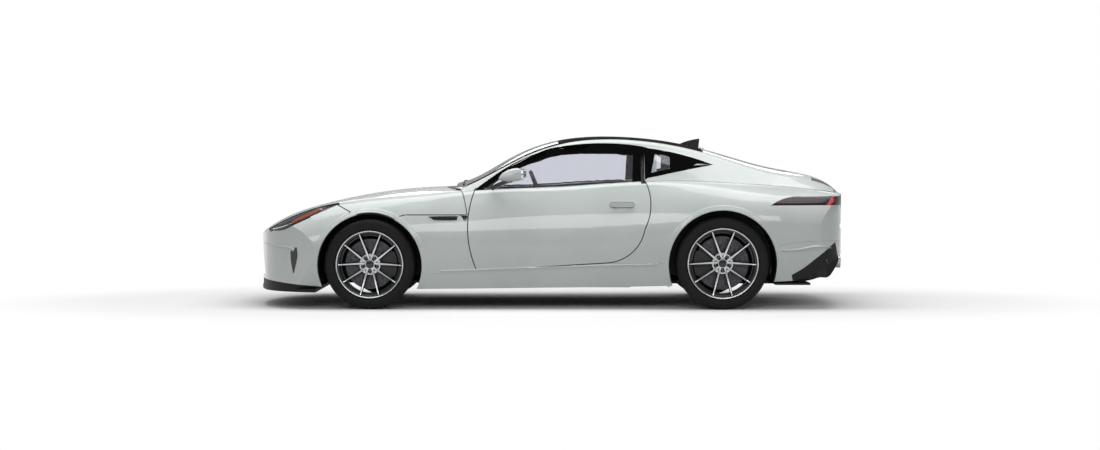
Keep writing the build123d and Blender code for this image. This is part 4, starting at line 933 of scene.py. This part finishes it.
def make_grille():
    """A lattice across the mouth: two families of slanted bars cut to the mouth's outline and
    bowed like the nose, before a black radiator face, inside a black surround."""
    bars = []
    for slope in (-BAR_SLOPE, BAR_SLOPE):
        for start in np.arange(-760, 760, BAR_STEP):
            z = np.linspace(MOUTH_LOW, MOUTH_TOP, 25)
            y = start + (z - MOUTH_LOW) / slope
            half = (MOUTH_HALF_LOW + (MOUTH_HALF_TOP - MOUTH_HALF_LOW) * (z - MOUTH_LOW)
                    / (MOUTH_TOP - MOUTH_LOW))
            inside = np.abs(y) < half
            if inside.sum() < 3:
                continue
            y, z = y[inside], z[inside]
            bars.append(tube(np.column_stack([-2196 + nose_bow(y), y, z]), 3.4, 6))
    piece("grille_lattice", merged(*bars), "satin_black", replaces=["grille"])
    piece("radiator_face", slab((-2096, -2088), (-470, 470), (238, 520)), "satin_black")
    edge = through([(-326, 500), (0, 502), (326, 500), (350, 484), (480, 280), (490, 258),
                    (462, 240), (0, 240), (-462, 240), (-490, 258), (-480, 280), (-350, 484)], 160,
                   closed=True)
    path = np.column_stack([-2203 + nose_bow(edge[:, 0]), edge[:, 0], edge[:, 1]])
    turn = turns(8)
    along = np.roll(path, -1, 0) - np.roll(path, 1, 0)
    along /= np.linalg.norm(along, axis=1, keepdims=True)
    out = np.array([1.0, 0.0, 0.0])
    side = np.cross(along, out)
    ring = (path[:, None] + 9 * np.cos(turn)[None, :, None] * side[:, None]
            + 12 * np.sin(turn)[None, :, None] * out)
    piece("grille_surround", grid(ring * MM, True, True), "gloss_black")


PIPE_Y, PIPE_Z = 320, 330


def make_tail():
    """Two polished tail pipe trims: rings turned about X with a rolled mouth."""
    turn = turns(64)
    for side, sign in SIDES.items():
        section = np.array([(2130, 39), (2200, 47), (2228, 50), (2234, 49), (2235, 46), (2226, 44),
                            (2150, 40), (2130, 36)], float)
        points = np.stack([np.broadcast_to(section[:, 0], (64, 8)),
                           sign * PIPE_Y + section[:, 1] * np.cos(turn)[:, None],
                           PIPE_Z + section[:, 1] * np.sin(turn)[:, None]], -1)
        piece(f"tail_pipe_trim_{side}", grid(points * MM, True, True), "exhaust_steel")


WELL_DEPTH = {"front": 474, "rear": 596}  # how far from the middle each wall stands


def make_wells():
    """A black wall closes each wheel well towards the middle of the car: half a disc."""
    for end, (x, z, r) in ARCHES.items():
        turn = np.radians(np.linspace(-12, 192, 60))
        loop = np.column_stack([x + (r - 6) * np.cos(turn), z + (r - 6) * np.sin(turn)])
        loop = np.concatenate([loop, [(x - 200, 210), (x + 200, 210)]])
        deep = WELL_DEPTH[end]
        for side, sign in SIDES.items():
            low, high = sorted((sign * deep, sign * (deep - 4)))
            piece(f"well_wall_{end}_{side}", prism(loop, low, high), "satin_black")


def make_wipers():
    """Two parked wipers: thin arms and blades laid on the windscreen's foot."""
    for name, start, stop in (("near", (-655, -560), (-672, 40)),
                              ("far", (-668, -60), (-650, 520))):
        strip = band_along(straight(start, stop, 24), 12.0, "left", (3.0, 9.0, 9.0, 3.0), 0.0, 4,
                           axis="z")
        piece(f"wiper_{name}", strip, "satin_black")


make_grille()
make_tail()
make_wells()
make_wipers()


ROOF_EDGE = [(-730, 768), (-420, 706), (-130, 640), (160, 594), (480, 574), (850, 550), (1160, 524)]
DOOR_CARD = [(-560, 340), (-585, 560), (-560, 745), (0, 768), (560, 785), (585, 650), (540, 440),
             (300, 350), (-100, 320)]
DOOR_CARD_Y = (822, 829)


def make_roof_trim():
    """Black edges beside the roof and along the windscreen's sides, and the printed border of
    the rear glass."""
    edge = through(ROOF_EDGE, 90)
    seen = edge[:, 0] > -640
    wide = np.where(edge[:, 0] < 60, 96.0, 70.0)
    out = straight((1238, 423), (1858, 398), 40)
    into = straight((1238, 380), (1858, 358), 40)
    for side, sign in SIDES.items():
        outer = np.column_stack([edge[:, 0], sign * (edge[:, 1] - 16)])
        inner = np.column_stack([edge[:, 0], sign * (edge[:, 1] - wide)])
        piece(f"roof_edge_{side}", laid(inner[seen], outer[seen], side, 0.8, 1.0, 10, axis="z"),
              "satin_black", material=RUBBER)
        border = laid(into * (1, sign), out * (1, sign), side, 0.5, 0.6, 5, axis="z")
        piece(f"rear_glass_border_{side}", border, "gloss_black", "tailgate")
    for name, low, high in (("front", 1238, 1290), ("rear", 1812, 1858)):
        across = np.linspace(-398, 398, 40)
        first = np.column_stack([np.full(40, low), across])
        second = np.column_stack([np.full(40, high), across])
        piece(f"rear_glass_border_{name}", laid(first, second, "left", 0.5, 0.6, 5, axis="z"),
              "gloss_black", "tailgate")


def make_linings():
    """The headliner 42 mm below the roof's skin, the luggage cover and the door cards."""
    lining = through(ROOF_EDGE[3:], 40)
    lining = lining[(lining[:, 0] > 150) & (lining[:, 0] < 1120)]
    first = np.column_stack([lining[:, 0], -(lining[:, 1] - 64)])
    second = np.column_stack([lining[:, 0], lining[:, 1] - 64])
    piece("headliner", laid(first, second, "left", 0.0, 2.0, 30, sink=42.0, axis="z"), "trim_dark")
    cover = prism([(1130, 905), (1940, 846), (1940, 838), (1130, 890)], -470, 470)
    piece("luggage_cover", cover, "trim_dark", bevel=3.0)
    for side, sign in SIDES.items():
        low, high = sorted(sign * y for y in DOOR_CARD_Y)
        piece(f"door_card_{side}", prism(through(DOOR_CARD, 90, closed=True), low, high),
              "trim_dark", f"door_{side}", bevel=2.0)


make_roof_trim()
make_linings()
clear_skins()


# ---------------------------------------------------------------- inside the cabin

VOXEL_MM = 6.0
PRESSURE = 4.0
CLOTH_STEPS = 20


def block_of_foam(centre, half, lean, square):
    """A rounded block: x = a·s(cos v)·s(cos u), y = b·s(cos v)·s(sin u), z = c·s(sin v), with
    s(t) = sign(t)·|t|^square, leaned back by lean degrees about its middle."""
    u = turns(48)[None, :]
    v = np.linspace(-np.pi / 2, np.pi / 2, 28)[:, None]

    def soft(t):
        """s(t): the smaller the power, the squarer the block."""
        return np.sign(t) * np.abs(t) ** square

    x = half[0] * soft(np.cos(v)) * soft(np.cos(u))
    y = half[1] * soft(np.cos(v)) * soft(np.sin(u))
    z = half[2] * soft(np.sin(v)) + 0 * u
    c, d = math.cos(math.radians(lean)), math.sin(math.radians(lean))
    points = np.stack([centre[0] + c * x + d * z, centre[1] + y, centre[2] - d * x + c * z], -1)
    return grid(points * MM, wrap_cols=True)


def stuffed(part, cap_mm):
    """The block blown up as a filled cover: remeshed, pressed out from within by cloth,
    no point moving farther than cap_mm."""
    cover = new_object("cover", *part)
    weld = cover.modifiers.new("weld", "WELD")
    weld.merge_threshold = 1e-5
    cut = cover.modifiers.new("cut", "REMESH")
    cut.mode = "VOXEL"
    cut.voxel_size = VOXEL_MM * MM
    even = bpy.data.meshes.new_from_object(shown(cover))
    cover.modifiers.clear()
    cover.data = even
    rest = grown = points_of(even)
    cloth = cover.modifiers.new("fill", "CLOTH")
    cloth.settings.use_pressure = True
    cloth.settings.uniform_pressure_force = PRESSURE
    cloth.settings.effector_weights.gravity = 0.0
    cloth.point_cache.frame_start, cloth.point_cache.frame_end = 1, CLOTH_STEPS
    for frame_number in range(1, CLOTH_STEPS + 1):
        bpy.context.scene.frame_set(frame_number)
    grown = points_of(cover.evaluated_get(bpy.context.evaluated_depsgraph_get()).data)
    bpy.context.scene.frame_set(1)
    move = grown - rest
    length = np.linalg.norm(move, axis=1, keepdims=True)
    shape = rest + move * np.minimum(1.0, cap_mm * MM / np.maximum(length, 1e-9))
    faces = triangles_of(even)
    bpy.data.objects.remove(cover)
    return shape, faces


CHANNEL_STEP, CHANNEL_DEPTH, CHANNEL_WIDTH = 62.0, 5.0, 7.0


def channelled(part, start, along):
    """Sewn channels: points sink by depth·exp(-(d/width)²) towards the middle at lines every
    step along a direction, counted from start (mm)."""
    points, faces = part
    run = (points @ np.asarray(along, float)) / MM - start
    near = np.abs(np.mod(run + CHANNEL_STEP / 2, CHANNEL_STEP) - CHANNEL_STEP / 2)
    middle = points.mean(0)
    away = points - middle
    away /= np.maximum(np.linalg.norm(away, axis=1, keepdims=True), 1e-9)
    sunk = CHANNEL_DEPTH * MM * np.exp(-(near / CHANNEL_WIDTH) ** 2)
    return points - away * sunk[:, None], faces


LEAN = 22.0  # of the backrests, in degrees from upright
SEAT_Y = 385.0
# Each pad about its seat's middle plane, in mm: centre, half sizes, lean in degrees,
# squareness, and the farthest that the filling may push its cover.
PADS = {"cushion": ((195, 0, 322), (222, 150, 34), -4, 0.32, 12.0),
        "back": ((508, 0, 560), (34, 140, 238), LEAN, 0.32, 12.0),
        "headrest": ((618, 0, 872), (36, 118, 62), LEAN, 0.45, 10.0),
        "cushion_wings": ((185, 190, 335), (228, 36, 46), -4, 0.6, 10.0),
        "back_wings": ((488, 186, 555), (50, 36, 235), LEAN, 0.6, 10.0)}
SEAT_SHELL = [(-50, 262), (-50, 300), (380, 285), (440, 330), (640, 900), (690, 905), (470, 262)]


def make_seats():
    """Two bucket seats: stuffed leather centre, bolsters and headrest in a hard shell on rails."""
    lean = math.radians(LEAN)
    pads = {name: stuffed(block_of_foam(*block), cap) for name, (*block, cap) in PADS.items()}
    pads["cushion"] = channelled(pads["cushion"], -20, (1, 0, 0))
    pads["back"] = channelled(pads["back"], 300, (math.sin(lean), 0.0, math.cos(lean)))
    for name in ("cushion_wings", "back_wings"):
        pads[name] = merged(pads[name], flipped(pads[name]))
    for side, sign in SIDES.items():
        shift = np.array([0.0, SEAT_Y * MM * sign, 0.0])
        for name, (points, faces) in pads.items():
            pad = piece(f"seat_{name}_{side}", (points + shift, faces), "leather",
                        replaces=["seats"] if (name, side) == ("cushion", "left") else ())
        middle = SEAT_Y * sign
        piece(f"seat_shell_{side}", prism(SEAT_SHELL, middle - 218, middle + 218), "trim_dark",
              bevel=12.0)
        rails = [slab((0, 420), (middle + off - 18, middle + off + 18), (148, 268))
                 for off in (-170, 170)]
        piece(f"seat_rails_{side}", merged(*rails), "chassis_black", bevel=3.0)


COLUMN_TILT = 22.0  # degrees from level
WHEEL_MIDDLE = (-85.0, -370.0, 862.0)
WHEEL_REACH, WHEEL_GRIP = 168.0, 14.5  # the steering wheel's rim: its radius and half its thickness


def make_steering_wheel():
    """Leather rim with a flattened foot, three spokes and a padded boss, square to the column."""
    tilt = math.radians(COLUMN_TILT)
    u, v = np.array([0.0, 1.0, 0.0]), np.array([-math.sin(tilt), 0.0, math.cos(tilt)])
    back = np.array([math.cos(tilt), 0.0, math.sin(tilt)])
    middle = np.array(WHEEL_MIDDLE)
    a = turns(96)[:, None]
    b = turns(20)[None, :]
    reach = WHEEL_REACH + WHEEL_GRIP * np.cos(b)
    high = np.maximum(reach * np.sin(a), -155.0 - 8 * np.cos(b))
    points = (middle + (reach * np.cos(a))[..., None] * u + high[..., None] * v
              + (WHEEL_GRIP * np.sin(b) + 0 * a)[..., None] * back)
    piece("steering_rim", grid(points * MM, True, True), "leather", "steering_wheel",
          replaces=["steering_wheel"])
    arms = []
    for angle in (0, 180, 270):
        ray = math.cos(math.radians(angle)) * u + math.sin(math.radians(angle)) * v
        run = np.linspace(30, 158, 12)[:, None]
        line = middle + run * ray + back * (6 - run / 40)
        arms.append(tube(line, np.linspace(20, 13, 12), 16, 0.4))
    piece("steering_spokes", merged(*arms), "satin_black", "steering_wheel")
    axis = np.linspace(0, 1, 9)[:, None]
    boss = tube(middle - back * 30 + axis * back * 52, (52, 58, 60, 60, 58, 54, 46, 32, 10), 40)
    piece("steering_boss", boss, "trim_dark", "steering_wheel")
    column = tube(middle - back * 160 + axis * back * 130, 12.0, 24)
    piece("steering_shaft", column, "chassis_black", "steering_wheel")


make_seats()
make_steering_wheel()


# ---------------------------------------------------------------- the frame's own nodes

def dress_nodes():
    """Each CAD node takes the finish of its slot; the roof's skin is matt black, and the front
    and rear glass are coated."""
    for part in frame["record"]["subparts"]:
        node = NODES[part["node"]]
        node.data.materials.clear()
        node.data.materials.append(FINISH[part["material_slot"]])
    NODES["roof_panel"].data.materials[0] = RUBBER
    for name in ("windscreen", "backlight"):
        NODES[name].data.materials[0] = COATED


dress_nodes()
